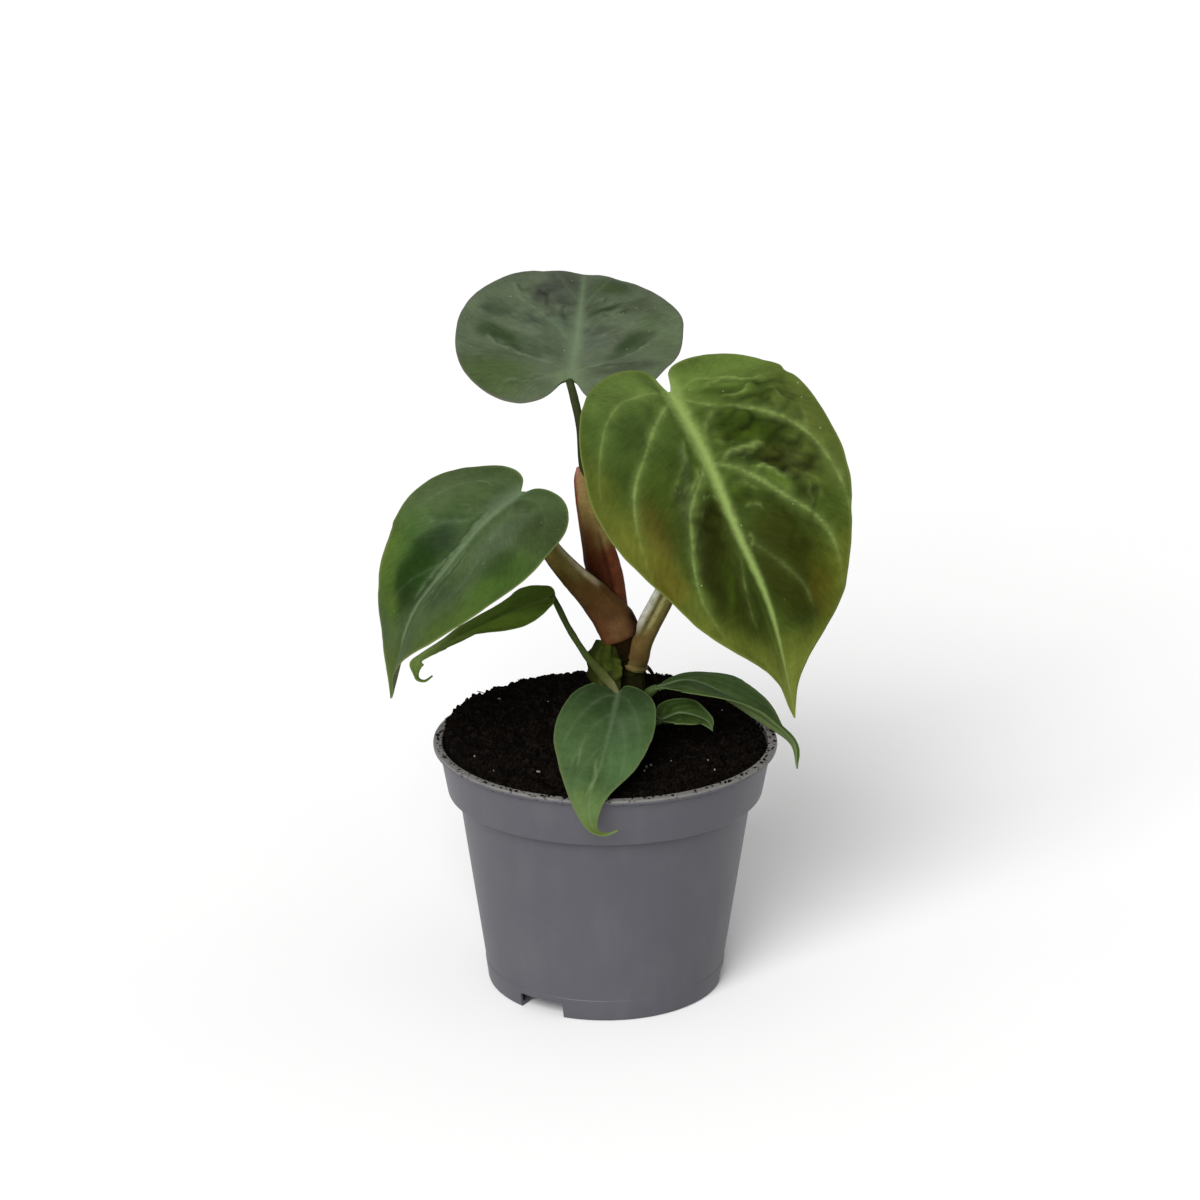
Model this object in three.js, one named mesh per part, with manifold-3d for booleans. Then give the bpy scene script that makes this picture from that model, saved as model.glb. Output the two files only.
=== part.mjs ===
// A young velvet-leaved philodendron in a grey 12 cm nursery pot, in millimetres, +Z up.
// The origin is on the surface that the pot stands on, on the pot's axis. The plant's front faces -Y.
import * as THREE from "three";
import { mergeVertices } from "three/addons/utils/BufferGeometryUtils.js";
import Module from "manifold-3d";

const wasm = await Module();
wasm.setup();

const GAP = 0.3; // clearance between pieces that touch

// The pot: a thin moulded shell with a lip, a collar, a tapered body and a foot ring with notches
const POT_HEIGHT = 89;
const POT_WALL = 1.2;
const POT_SIDES = 40;
const LIP_RADIUS = 60;
const LIP_THICKNESS = 1.6;
const COLLAR_TOP_RADIUS = 58;
const COLLAR_FOOT_RADIUS = 55.1;
const COLLAR_FOOT_Z = 71;
const BODY_TOP_RADIUS = 51.4;
const BODY_FOOT_RADIUS = 41.4;
const FLOOR_THICKNESS = 1.4;
const CHANNEL_Z = 6.5; // underside of the raised ring in the floor
const CHANNEL_RADII = [17.5, 33.5];
const CHANNEL_FEET = [14, 37];
const NOTCH_COUNT = 3;
const NOTCH_WIDTH = 17.5;
const NOTCH_HEIGHT = 5.6;
const NOTCH_BEARING = -32.5; // degrees to the right of the front
const DRAIN_COUNT = 6;
const DRAIN_RADIUS = 4;
const DRAIN_CIRCLE = 25.5;

// The soil: fills the pot to its lip, with a crumbly top that is heaped at the back
const SOIL_INSET = 0.4;
const SOIL_RIM_Z = 87.4;
const SOIL_SPOKES = 32;
const SOIL_RING_SHARES = [1, 0.95, 0.82, 0.64, 0.46, 0.26];
const SOIL_CROWN = 0.6;
const SOIL_HEAP = 7.4;
const SOIL_HEAP_WAY = [-0.5, 0.87]; // towards the heap, seen from above
const SOIL_LUMPS = 0.7;

// The short stem, from the root crown to the newest node
const STEM = {
  path: [[11, 5, 56], [11, 3.6, 84], [10.9, 3, 104], [10.2, 3, 112], [8.2, 3, 119], [6.4, 3.2, 124]],
  radii: [2.4, 4.7, 4.9, 4.6, 4.3, 4.0],
};

// Stalks, each from the plant's stem to its leaf: centre line, then half widths across and through
const STALKS = {
  left_petiole: {
    path: [[7.4, 2.4, 119.4], [5.6, 2, 124.8], [3, 1.6, 130.6], [-3.2, 1.6, 140.4], [-11.5, 1, 149.4],
      [-18.4, 0, 157.4], [-24.6, -1.2, 168], [-28.4, -3.4, 177.6], [-28.6, -6.6, 181.4]],
    across: [4.6, 5.8, 7.0, 5.9, 4.5, 3.7, 2.9, 2.2, 1.6],
    through: [4.4, 4.8, 4.9, 4.4, 3.8, 3.2, 2.6, 2.0, 1.4],
    colour: 0x7d6238,
  },
  right_petiole: {
    path: [[11.4, 1, 112.4], [11.5, 0.8, 118], [13, 1, 126], [19.4, 2.8, 138], [26, 5, 152],
      [29.6, 7, 172], [28.6, 6.4, 194], [25.4, 2.4, 208], [22, -4.3, 213.9]],
    across: [4.3, 4.5, 4.5, 4.3, 3.8, 3.2, 2.7, 2.3, 1.7],
    through: [4.2, 4.4, 4.0, 3.6, 3.2, 2.8, 2.4, 2.0, 1.4],
    colour: 0x8f8a52,
  },
  top_petiole: {
    path: [[6.6, 7.4, 121], [4.6, 8.2, 133], [1.2, 8, 145], [-2.6, 7.4, 158], [-6.2, 6.4, 172],
      [-8.6, 6, 187], [-9.6, 8, 199], [-11.2, 11.4, 207.6], [-12.3, 14.8, 211.4]],
    across: [1.3, 1.3, 1.3, 1.3, 1.3, 1.4, 1.4, 1.5, 1.2],
    through: [1.3, 1.3, 1.3, 1.3, 1.3, 1.4, 1.4, 1.5, 1.2],
    colour: 0x4c5c34,
  },
  top_sheath: {
    path: [[6.8, 7, 122], [4.6, 8, 133], [1, 7.8, 145], [-1.4, 7.2, 153], [-3.6, 6.8, 162],
      [-6.4, 6.4, 173], [-8.3, 6, 182.4]],
    across: [5.0, 5.6, 6.2, 6.0, 5.0, 3.8, 2.4],
    through: [4.4, 4.4, 4.2, 4.0, 3.6, 3.0, 2.3],
    colour: 0x6e3527,
  },
  front_petiole: {
    path: [[2.6, 1.2, 123.4], [1.2, -0.8, 119.6], [1.2, -3, 115], [2.8, -5, 110.8], [4.2, -6.9, 108.2]],
    across: [4.6, 6.4, 5.0, 2.6, 1.4],
    through: [1.5, 2.0, 2.2, 1.7, 1.1],
    colour: 0x5d7338,
  },
  lower_left_petiole: {
    path: [[1.2, -6.6, 112.6], [-2.6, -5.4, 116], [-7, -2.4, 120.4], [-12.2, 1.8, 128.6],
      [-16.2, 4.8, 136], [-18.3, 6.4, 139.4]],
    across: [1.6, 1.5, 1.2, 1.1, 1.1, 1.0],
    through: [1.2, 1.2, 1.1, 1.1, 1.1, 0.9],
    colour: 0x5f7a3c,
  },
  lower_right_petiole: {
    path: [[12.6, 2, 102.6], [15.4, 1.6, 105.4], [17.4, 1.4, 107.2]],
    across: [2.0, 1.8, 1.4],
    through: [1.8, 1.6, 1.2],
    colour: 0x55703a,
  },
  small_petiole: {
    path: [[12.6, 0, 94.6], [16, -4.4, 96], [18.8, -7, 97.2]],
    across: [1.6, 1.4, 1.1],
    through: [1.5, 1.3, 1.0],
    colour: 0x55703a,
  },
  aerial_root: {
    path: [[12.4, 5.4, 115], [15, 9.8, 114], [17.4, 15.6, 109.6], [19, 18.8, 100], [19.4, 20, 84]],
    across: [1.2, 1.1, 1.0, 0.9, 0.7],
    through: [1.2, 1.1, 1.0, 0.9, 0.7],
    colour: 0x1c1611,
  },
};

// Leaf blades: the midrib runs from the stalk to the tip, and every share is of the midrib's length.
// The first of two half widths is on the right of a viewer who looks along the midrib at the upper face.
// roll turns the upper face about the midrib at its base, middle and tip, in degrees.
// fold raises the halves from the midrib at its base and tip, in degrees.
const BLADES = {
  top_leaf: {
    midrib: [[-12.4, 15.5, 212.8], [-10.5, 38.6, 219.5], [-8.3, 65, 230.4], [-7.4, 89.5, 232.3],
      [-7.7, 109.4, 212.8]],
    halfWidths: [38, 42],
    outline: { widest: 0.29, corner: 0.01, back: 0.19, open: 0.03, shoulder: 0.4, drip: 0.3 },
    roll: [-2, 5, 8],
    fold: [6.6, -8],
    lift: -0.16,
    ribs: 5,
    pucker: 1.2,
    wave: 1.0,
    grid: [20, 6],
    colour: 0x4a5a45,
  },
  right_leaf: {
    midrib: [[21.7, -5.8, 214.9], [32.6, -22.8, 199.1], [43.5, -38.2, 176.3], [55.4, -47.7, 151.7],
      [61.8, -49.7, 114]],
    halfWidths: [47, 43.7],
    outline: { widest: 0.275, corner: 0.053, back: 0.127, open: 0.021, shoulder: 0.49, drip: 0.12 },
    roll: [6, 30, 23],
    fold: [11, 24],
    lift: -0.05,
    ribs: 5,
    pucker: 1.5,
    wave: 1.1,
    grid: [20, 6],
    colour: 0x52682b,
  },
  left_leaf: {
    midrib: [[-28.4, -7.5, 180.8], [-41.7, -17.1, 172.1], [-52.9, -23.9, 159.9], [-65.7, -27.8, 142.8],
      [-73, -28, 114]],
    halfWidths: [30, 36.3],
    outline: { widest: 0.315, corner: 0.013, back: 0.108, open: 0.021, shoulder: 0.5, drip: 0.064 },
    roll: [-10, -17, -14],
    fold: [5, 16],
    lift: 0,
    ribs: 5,
    pucker: 1.0,
    wave: 0.7,
    grid: [20, 6],
    colour: 0x46603a,
  },
  front_leaf: {
    midrib: [[4.4, -8.2, 109.4], [1.8, -25.6, 103.4], [-1.5, -44.8, 97.2], [-4.8, -62.4, 91.4],
      [-3.9, -69.2, 84.6], [2.4, -72.8, 82]],
    halfWidths: [18.4, 15.4],
    outline: { widest: 0.295, corner: 0.025, back: 0.064, open: 0.019, shoulder: 0.42, drip: 0.225 },
    roll: [-4, -1, 9],
    fold: [5, -2],
    lift: 0,
    ribs: 4,
    pucker: 0.5,
    wave: 0.5,
    grid: [16, 5],
    colour: 0x5a7a4c,
  },
  lower_right_leaf: {
    midrib: [[17.3, 1.4, 107.7], [29.5, 2.3, 108.8], [42, -6.1, 107.4], [57.5, -11.7, 98.1],
      [66.3, -18.3, 85.2]],
    halfWidths: [15.4, 16.9],
    outline: { widest: 0.318, corner: 0.01, back: 0.03, open: 0.02, shoulder: 0.46, drip: 0.093 },
    roll: [-15, -6, -6],
    fold: [0, 7],
    lift: 0,
    ribs: 4,
    pucker: 0.4,
    wave: 0.4,
    grid: [16, 5],
    colour: 0x4c6a3c,
  },
  lower_left_leaf: {
    midrib: [[-18.1, 6.2, 139.1], [-34.6, 7.6, 132.2], [-52.7, 13.3, 121], [-66, 14.7, 112.9],
      [-66.9, 9.5, 108.1], [-61.3, 10.4, 108.9]],
    halfWidths: [15.4, 18.1],
    outline: { widest: 0.255, corner: 0.01, back: 0.02, open: 0.02, shoulder: 0.45, drip: 0.31 },
    roll: [-11, -1, 1],
    fold: [3, 7],
    lift: 0,
    ribs: 4,
    pucker: 0.4,
    wave: 0.6,
    grid: [16, 5],
    colour: 0x4c6532,
  },
  small_leaf: {
    midrib: [[19.6, -7.6, 98.8], [25, -5, 100.2], [30.3, -6.5, 100.2], [35.2, -8, 98.4], [37.1, -12, 96.4]],
    halfWidths: [11.7, 6.5],
    outline: { widest: 0.3, corner: 0.02, back: 0.06, open: 0.02, shoulder: 0.475, drip: 0.224 },
    roll: [8, 15, 11],
    fold: [18, 13],
    lift: 0,
    ribs: 3,
    pucker: 0.3,
    wave: 0.3,
    grid: [12, 4],
    colour: 0x56743c,
  },
};

const BLADE_THICKNESS = 0.7;
const MIDRIB_KEEL = 1.0; // how far the midrib stands out under the blade
const MIDRIB_GROOVE = 0.4;
const MIDRIB_REACH = 2.5; // how far out from the midrib its keel and groove run out
const END_BULGE = 0.3; // how far a stalk's rounded end stands out
const LOBE_SHARE = 0.42; // share of a half outline that goes round the lobe, up to the widest point
const LOBE_STEM = 0.05; // share of the midrib that the lobe's veins leave from
const VEIN_SWEEP = 1.6; // how much more the veins towards the tip sweep forwards

const { lerp, clamp, degToRad } = THREE.MathUtils;
const vec = (p) => new THREE.Vector3(p[0], p[1], p[2]);
const smooth = (points) => new THREE.CatmullRomCurve3(points.map(vec), false, "catmullrom", 0.5);

/** A geometry from points and triangles of point numbers. */
function geometryFrom(points, triangles) {
  const geometry = new THREE.BufferGeometry().setFromPoints(points);
  geometry.setIndex(triangles.flat());
  return geometry;
}

/** A closed geometry as a solid that can be joined and cut. */
function solidOf(geometry) {
  const bare = geometry.clone();
  for (const name of ["normal", "uv"]) bare.deleteAttribute(name);
  const merged = mergeVertices(bare, 1e-4);
  return new wasm.Manifold(
    new wasm.Mesh({
      numProp: 3,
      vertProperties: new Float32Array(merged.attributes.position.array),
      triVerts: new Uint32Array(merged.index.array),
    }),
  );
}

/** A solid's surface as a geometry with flat faces. */
function geometryOf(solid) {
  const { vertProperties, triVerts } = solid.getMesh();
  const geometry = new THREE.BufferGeometry();
  geometry.setAttribute("position", new THREE.BufferAttribute(new Float32Array(vertProperties), 3));
  geometry.setIndex(new THREE.BufferAttribute(new Uint32Array(triVerts), 1));
  const faceted = geometry.toNonIndexed();
  faceted.computeVertexNormals();
  return faceted;
}

/** The largest of a solid's separate bodies. */
function largestOf(solid) {
  return solid.decompose().reduce((a, b) => (b.volume() > a.volume() ? b : a));
}

/** Joins rings of points, all alike in number, into a closed loft with pointed ends. */
function loft(rings, start, end) {
  const sides = rings[0].length;
  const points = [...rings.flat(), start, end];
  const triangles = [];
  const first = points.length - 2;
  const last = points.length - 1;
  for (let i = 0; i < sides; i++) {
    const j = (i + 1) % sides;
    triangles.push([first, j, i]);
    for (let r = 0; r + 1 < rings.length; r++) {
      const a = r * sides;
      const b = a + sides;
      triangles.push([a + i, a + j, b + j], [a + i, b + j, b + i]);
    }
    const top = (rings.length - 1) * sides;
    triangles.push([last, top + i, top + j]);
  }
  return geometryFrom(points, triangles);
}

/** A value from a list, read smoothly at a share of the list's length. */
function readAt(values, share) {
  const s = clamp(share, 0, 1) * (values.length - 1);
  const i = Math.min(Math.floor(s), values.length - 2);
  return lerp(values[i], values[i + 1], s - i);
}

/** A stalk of oval section along its centre line, grown outwards by a clearance. */
function stalk({ path, across, through }, steps, sides, grow = 0) {
  const line = smooth(path);
  const viewer = new THREE.Vector3(0, -1, 0);
  const rings = [];
  for (let k = 0; k <= steps; k++) {
    const share = k / steps;
    const along = line.getTangent(share);
    const beyond = k === 0 ? -grow : k === steps ? grow : 0;
    const centre = line.getPoint(share).addScaledVector(along, beyond);
    const side = new THREE.Vector3().crossVectors(along, viewer).normalize();
    const front = new THREE.Vector3().crossVectors(along, side).normalize();
    const a = readAt(across, share) + grow;
    const b = readAt(through, share) + grow;
    rings.push(
      Array.from({ length: sides }, (_, i) => {
        const turn = (2 * Math.PI * i) / sides;
        return centre
          .clone()
          .addScaledVector(side, a * Math.cos(turn))
          .addScaledVector(front, b * Math.sin(turn));
      }),
    );
  }
  const reach = END_BULGE + 2 * grow;
  const start = line.getPoint(0).addScaledVector(line.getTangent(0), -reach);
  const end = line.getPoint(1).addScaledVector(line.getTangent(1), reach);
  return solidOf(loft(rings, start, end));
}

/** A point of a cubic curve in the blade's plane. */
function cubic(a, b, c, d, t) {
  const s = 1 - t;
  const weights = [s * s * s, 3 * s * s * t, 3 * s * t * t, t * t * t];
  return [0, 1].map((k) => a[k] * weights[0] + b[k] * weights[1] + c[k] * weights[2] + d[k] * weights[3]);
}

/** A half blade's edge, along the midrib and out from it: the lobe's corner at q = 0, the tip at q = 1. */
function edgeAt({ widest, corner, back, open, shoulder, drip }, length, halfWidth, q) {
  const wide = widest * length;
  const gap = open * length;
  if (q < LOBE_SHARE) {
    return cubic(
      [-corner * length, gap],
      [-back * length, gap + 0.05 * halfWidth],
      [-back * length, halfWidth],
      [wide, halfWidth],
      q / LOBE_SHARE,
    );
  }
  return cubic(
    [wide, halfWidth],
    [wide + shoulder * (length - wide), halfWidth],
    [length - drip * (length - wide), 0.06 * halfWidth],
    [length, 0],
    (q - LOBE_SHARE) / (1 - LOBE_SHARE),
  );
}

/** A point on the line that a side vein follows from the midrib (t = 0) to the edge (t = 1). */
function veinPoint(outline, length, halfWidth, q, t) {
  const edge = edgeAt(outline, length, halfWidth, q);
  const lobeRoot = LOBE_STEM * length;
  const slant = (outline.widest * length - lobeRoot) / halfWidth;
  const sweep = slant * edge[1] * (1 + VEIN_SWEEP * (1 - edge[1] / halfWidth));
  const leave = [q < LOBE_SHARE ? (lobeRoot * q) / LOBE_SHARE : edge[0] - sweep, 0];
  const bend = [lerp(leave[0], edge[0], 0.3), 0.62 * edge[1]];
  const s = 1 - t;
  return [0, 1].map((k) => leave[k] * s * s + 2 * bend[k] * s * t + edge[k] * t * t);
}

/** Gives the place and the upper side's direction of a blade's surface at any row, share across and side. */
function bladeSurface(blade) {
  const { outline, halfWidths, roll, fold, lift, ribs, pucker, wave } = blade;
  const line = smooth(blade.midrib);
  const length = line.getLength();
  const up = new THREE.Vector3(0, 0, 1);
  return (q, t, side) => {
    const halfWidth = halfWidths[side > 0 ? 0 : 1];
    const [u, v] = veinPoint(outline, length, halfWidth, q, t);
    const share = clamp(u / length, 0, 1);
    const along = line.getTangentAt(share);
    const centre = line.getPointAt(share).addScaledVector(along, u - share * length);
    const level = up.clone().addScaledVector(along, -up.dot(along)).normalize();
    const baseTurn = roll[0] * (1 - share) * (1 - 2 * share);
    const turn = baseTurn + 4 * roll[1] * share * (1 - share) + roll[2] * share * (2 * share - 1);
    const face = level.applyAxisAngle(along, degToRad(turn));
    const right = new THREE.Vector3().crossVectors(along, face).multiplyScalar(side);
    const angle = degToRad(lerp(fold[0], fold[1], share));
    const behind = Math.max(0, -u);
    const rise = v * Math.sin(angle) + (lift * behind * behind) / (0.15 * length);
    const place = centre.addScaledVector(right, v * Math.cos(angle)).addScaledVector(face, rise);
    const normal = face.clone().multiplyScalar(Math.cos(angle)).addScaledVector(right, -Math.sin(angle));
    const fade = clamp(v / (0.12 * halfWidth), 0, 1);
    const slim = clamp(edgeAt(outline, length, halfWidth, q)[1] / (0.35 * halfWidth), 0, 1);
    const between = Math.sin(Math.PI * ribs * q) ** 2;
    const swell = pucker * between * Math.sin(Math.PI * Math.min(1, 0.1 + t)) * fade;
    const edgeWave = wave * Math.sin(2 * Math.PI * (ribs / 2) * q + (side > 0 ? 0.6 : 2.2)) * t ** 3;
    const groove = MIDRIB_GROOVE * (1 - clamp(v / MIDRIB_REACH, 0, 1));
    place.addScaledVector(normal, (swell + edgeWave - groove) * slim);
    const keel = MIDRIB_KEEL * (1 - clamp(v / MIDRIB_REACH, 0, 1)) * slim;
    return { place, normal, along, keel };
  };
}

/** A leaf blade with a keeled midrib, grown on both faces by a clearance. */
function bladeSolid(blade, grow = 0) {
  const [rows, columns] = blade.grid;
  const surface = bladeSurface(blade);
  const across = [0, 0.07];
  for (let j = 2; j <= columns; j++) across.push(0.07 + (0.93 * (j - 1)) / (columns - 1));
  const upper = [];
  const lower = [];
  const wide = 2 * columns + 1;
  const put = (q, t, side) => {
    const { place, normal, along, keel } = surface(q, t, side);
    if (q === 0) place.addScaledVector(along, -3 * grow);
    if (t === 1) {
      const inward = place.clone().sub(surface(q, 0.7, side).place).normalize();
      place.addScaledVector(inward, 2 * grow);
    }
    upper.push(place.clone().addScaledVector(normal, grow));
    lower.push(place.clone().addScaledVector(normal, -BLADE_THICKNESS - keel - grow));
  };
  for (let i = 0; i < rows; i++) {
    for (let c = -columns; c <= columns; c++) put(i / rows, across[Math.abs(c)], Math.sign(c) || 1);
  }
  put(1, 0, 1);
  const tip = rows * wide;
  const count = tip + 1;
  const triangles = [];
  const addBoth = (a, b, c) => triangles.push([a, b, c], [count + a, count + c, count + b]);
  for (let i = 0; i + 1 < rows; i++) {
    for (let c = 0; c + 1 < wide; c++) {
      const a = i * wide + c;
      const d = a + wide;
      if (c < columns) {
        addBoth(a, a + 1, d);
        addBoth(a + 1, d + 1, d);
      } else {
        addBoth(a, a + 1, d + 1);
        addBoth(a, d + 1, d);
      }
    }
  }
  const end = (rows - 1) * wide;
  for (let c = 0; c + 1 < wide; c++) addBoth(end + c, end + c + 1, tip);
  const rim = [];
  for (let c = 0; c < wide; c++) rim.push(c);
  for (let i = 1; i < rows; i++) rim.push(i * wide + wide - 1);
  rim.push(tip);
  for (let i = rows - 1; i > 0; i--) rim.push(i * wide);
  rim.forEach((a, k) => {
    const b = rim[(k + 1) % rim.length];
    triangles.push([b, a, count + a], [b, count + a, count + b]);
  });
  return solidOf(geometryFrom([...upper, ...lower], triangles));
}

/** The pot's outer radius at a height on its tapered body. */
const bodyRadius = (z) => lerp(BODY_FOOT_RADIUS, BODY_TOP_RADIUS, z / COLLAR_FOOT_Z);

/** The pot: a lathed shell with its notches and drain holes cut out. */
function potSolid() {
  const lipFoot = POT_HEIGHT - LIP_THICKNESS;
  const floorTop = CHANNEL_Z + FLOOR_THICKNESS;
  const ledge = COLLAR_FOOT_Z + POT_WALL;
  const profile = [
    [0, 0],
    [CHANNEL_FEET[0], 0],
    [CHANNEL_RADII[0], CHANNEL_Z],
    [CHANNEL_RADII[1], CHANNEL_Z],
    [CHANNEL_FEET[1], 0],
    [BODY_FOOT_RADIUS - 0.8, 0],
    [BODY_FOOT_RADIUS + 0.1, 0.9],
    [BODY_TOP_RADIUS, COLLAR_FOOT_Z],
    [COLLAR_FOOT_RADIUS - 0.5, COLLAR_FOOT_Z],
    [COLLAR_FOOT_RADIUS, COLLAR_FOOT_Z + 0.6],
    [COLLAR_TOP_RADIUS, lipFoot],
    [LIP_RADIUS, lipFoot],
    [LIP_RADIUS, POT_HEIGHT - 0.3],
    [LIP_RADIUS - 0.5, POT_HEIGHT],
    [COLLAR_TOP_RADIUS - POT_WALL, POT_HEIGHT],
    [COLLAR_FOOT_RADIUS - POT_WALL, ledge],
    [BODY_TOP_RADIUS - POT_WALL, ledge],
    [bodyRadius(FLOOR_THICKNESS) - POT_WALL, FLOOR_THICKNESS],
    [CHANNEL_FEET[1] + 0.9, FLOOR_THICKNESS],
    [CHANNEL_RADII[1] + 0.9, floorTop],
    [CHANNEL_RADII[0] - 0.9, floorTop],
    [CHANNEL_FEET[0] - 0.9, FLOOR_THICKNESS],
    [0, FLOOR_THICKNESS],
  ].map(([r, z]) => new THREE.Vector2(r, z));
  let shell = solidOf(new THREE.LatheGeometry(profile, POT_SIDES).rotateX(Math.PI / 2));
  for (let i = 0; i < NOTCH_COUNT; i++) {
    const bearing = degToRad(NOTCH_BEARING + (360 * i) / NOTCH_COUNT);
    const notch = new THREE.BoxGeometry(NOTCH_WIDTH, 12, 2 * NOTCH_HEIGHT);
    notch.translate(0, -BODY_FOOT_RADIUS, 0).rotateZ(bearing);
    shell = shell.subtract(solidOf(notch));
  }
  for (let i = 0; i < DRAIN_COUNT; i++) {
    const drain = new THREE.CylinderGeometry(DRAIN_RADIUS, DRAIN_RADIUS, 8, 8).rotateX(Math.PI / 2);
    drain.translate(DRAIN_CIRCLE, 0, CHANNEL_Z).rotateZ((2 * Math.PI * i) / DRAIN_COUNT);
    shell = shell.subtract(solidOf(drain));
  }
  return shell;
}

/** The height of the soil's top at a place in the pot: level at the front and heaped at the back left. */
function soilHeight(x, y) {
  const out = Math.min(1, Math.hypot(x, y) / 56);
  const toHeap = (SOIL_HEAP_WAY[0] * x + SOIL_HEAP_WAY[1] * y) / 56;
  const heap = SOIL_HEAP * THREE.MathUtils.smoothstep(toHeap, -0.4, 0.6) * (1 - 0.55 * out ** 24);
  const lumps = Math.sin(0.31 * x + 1.7) * Math.cos(0.27 * y) + Math.sin(0.19 * x - 0.37 * y + 0.6);
  return SOIL_RIM_Z + SOIL_CROWN * (1 - out ** 4) + heap + SOIL_LUMPS * lumps * (1 - 0.6 * out ** 2);
}

/** The soil: a plug that fills the pot, with a lumpy top. */
function soilSolid() {
  const foot = CHANNEL_Z + FLOOR_THICKNESS + GAP;
  const ledge = COLLAR_FOOT_Z + POT_WALL + GAP;
  const inset = POT_WALL + SOIL_INSET;
  const collar = (z) =>
    lerp(COLLAR_FOOT_RADIUS, COLLAR_TOP_RADIUS, (z - COLLAR_FOOT_Z) / (POT_HEIGHT - COLLAR_FOOT_Z)) - inset;
  const sides = [
    [bodyRadius(foot) - inset, foot],
    [BODY_TOP_RADIUS - inset, ledge],
    [collar(ledge) - 0.3, ledge + 0.1],
    [collar(SOIL_RIM_Z - 3) - 0.2, SOIL_RIM_Z - 3],
  ];
  const edge = collar(SOIL_RIM_Z - 1) - 0.2;
  const at = (r, z, spoke) => {
    const turn = (2 * Math.PI * spoke) / SOIL_SPOKES;
    const x = r * Math.cos(turn);
    const y = r * Math.sin(turn);
    return new THREE.Vector3(x, y, z ?? soilHeight(x, y));
  };
  const spokes = Array.from({ length: SOIL_SPOKES }, (_, i) => i);
  const rings = sides.map(([r, z]) => spokes.map((s) => at(r, z, s)));
  for (const share of SOIL_RING_SHARES) rings.push(spokes.map((s) => at(edge * share, null, s)));
  return solidOf(loft(rings, new THREE.Vector3(0, 0, foot), new THREE.Vector3(0, 0, soilHeight(0, 0))));
}

const STALK_GRID = {
  left_petiole: [14, 12],
  right_petiole: [14, 12],
  top_petiole: [14, 8],
  top_sheath: [9, 12],
  front_petiole: [7, 12],
  lower_left_petiole: [9, 8],
  lower_right_petiole: [4, 8],
  small_petiole: [4, 8],
  aerial_root: [8, 8],
};

const STEM_GRID = [10, 12];
const STEM_STALK = { path: STEM.path, across: STEM.radii, through: STEM.radii };

const makeStem = (grow) => stalk(STEM_STALK, ...STEM_GRID, grow);
const makeStalk = (name, grow) => stalk(STALKS[name], ...STALK_GRID[name], grow);

// Each piece, and the pieces that it makes room for
const ROOM_FOR = {
  left_petiole: ["stem", "left_leaf"],
  right_petiole: ["stem", "left_petiole", "right_leaf"],
  top_petiole: ["stem", "left_petiole", "top_leaf"],
  top_sheath: ["stem", "left_petiole", "right_petiole", "top_petiole"],
  front_petiole: ["stem", "left_petiole", "right_petiole", "front_leaf"],
  lower_left_petiole: ["stem", "front_petiole", "front_leaf", "lower_left_leaf"],
  lower_right_petiole: ["stem", "lower_right_leaf"],
  small_petiole: ["stem", "small_leaf"],
  aerial_root: ["stem"],
  soil: ["stem", "aerial_root"],
};

/** A piece before it makes room for others, grown by a clearance. */
function rawSolid(name, grow = 0) {
  if (name === "stem") return makeStem(grow);
  if (name === "soil") return soilSolid();
  if (name === "pot") return potSolid();
  return BLADES[name] ? bladeSolid(BLADES[name], grow) : makeStalk(name, grow);
}

/** A finished piece. */
function finished(name) {
  const others = ROOM_FOR[name] ?? [];
  const cut = others.reduce((solid, other) => solid.subtract(rawSolid(other, GAP)), rawSolid(name));
  return others.length ? largestOf(cut) : cut;
}

const plant = new THREE.Group();
plant.name = "potted_philodendron";

/** Adds a named piece to the plant. */
function add(name, colour, roughness) {
  const material = new THREE.MeshStandardMaterial({ color: colour, roughness, metalness: 0 });
  const mesh = new THREE.Mesh(geometryOf(finished(name)), material);
  mesh.name = name;
  plant.add(mesh);
}

add("pot", 0x6b6b72, 0.55);
add("soil", 0x17110d, 0.95);
add("stem", 0x2e331c, 0.6);
for (const [name, { colour }] of Object.entries(STALKS)) add(name, colour, 0.5);
for (const [name, { colour }] of Object.entries(BLADES)) add(name, colour, 0.6);

export default plant;
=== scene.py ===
"""A young velvet-leaved philodendron in a grey 12 cm nursery pot, dressed for a studio picture.

Sizes of the plant, the soil and the pot are in millimetres, and those of the studio and of all finished
meshes in metres. The origin is on the surface that the pot stands on, on the pot's axis, with +Z up. The
plant's front faces -Y.
"""

import logging
import math
from dataclasses import dataclass, replace
from enum import Enum
from typing import Any

import bmesh
import bpy
import numpy as np
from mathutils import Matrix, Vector, noise


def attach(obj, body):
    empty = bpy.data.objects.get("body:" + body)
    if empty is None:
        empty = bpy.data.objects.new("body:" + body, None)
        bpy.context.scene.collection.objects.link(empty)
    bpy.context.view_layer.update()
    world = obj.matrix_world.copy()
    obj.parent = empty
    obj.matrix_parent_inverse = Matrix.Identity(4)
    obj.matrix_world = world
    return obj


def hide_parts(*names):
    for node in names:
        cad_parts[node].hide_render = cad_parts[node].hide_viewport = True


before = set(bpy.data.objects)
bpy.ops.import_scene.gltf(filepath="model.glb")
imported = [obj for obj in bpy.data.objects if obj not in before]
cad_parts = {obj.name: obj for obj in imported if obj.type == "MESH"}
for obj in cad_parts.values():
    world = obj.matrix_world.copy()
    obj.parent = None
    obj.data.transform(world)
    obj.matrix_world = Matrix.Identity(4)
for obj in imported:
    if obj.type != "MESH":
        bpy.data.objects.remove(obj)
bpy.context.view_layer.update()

LOG = logging.getLogger("philodendron")
BODY = "root"
MM = 0.001
TURN = 2 * math.pi
UP = np.array([0.0, 0.0, 1.0])
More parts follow.
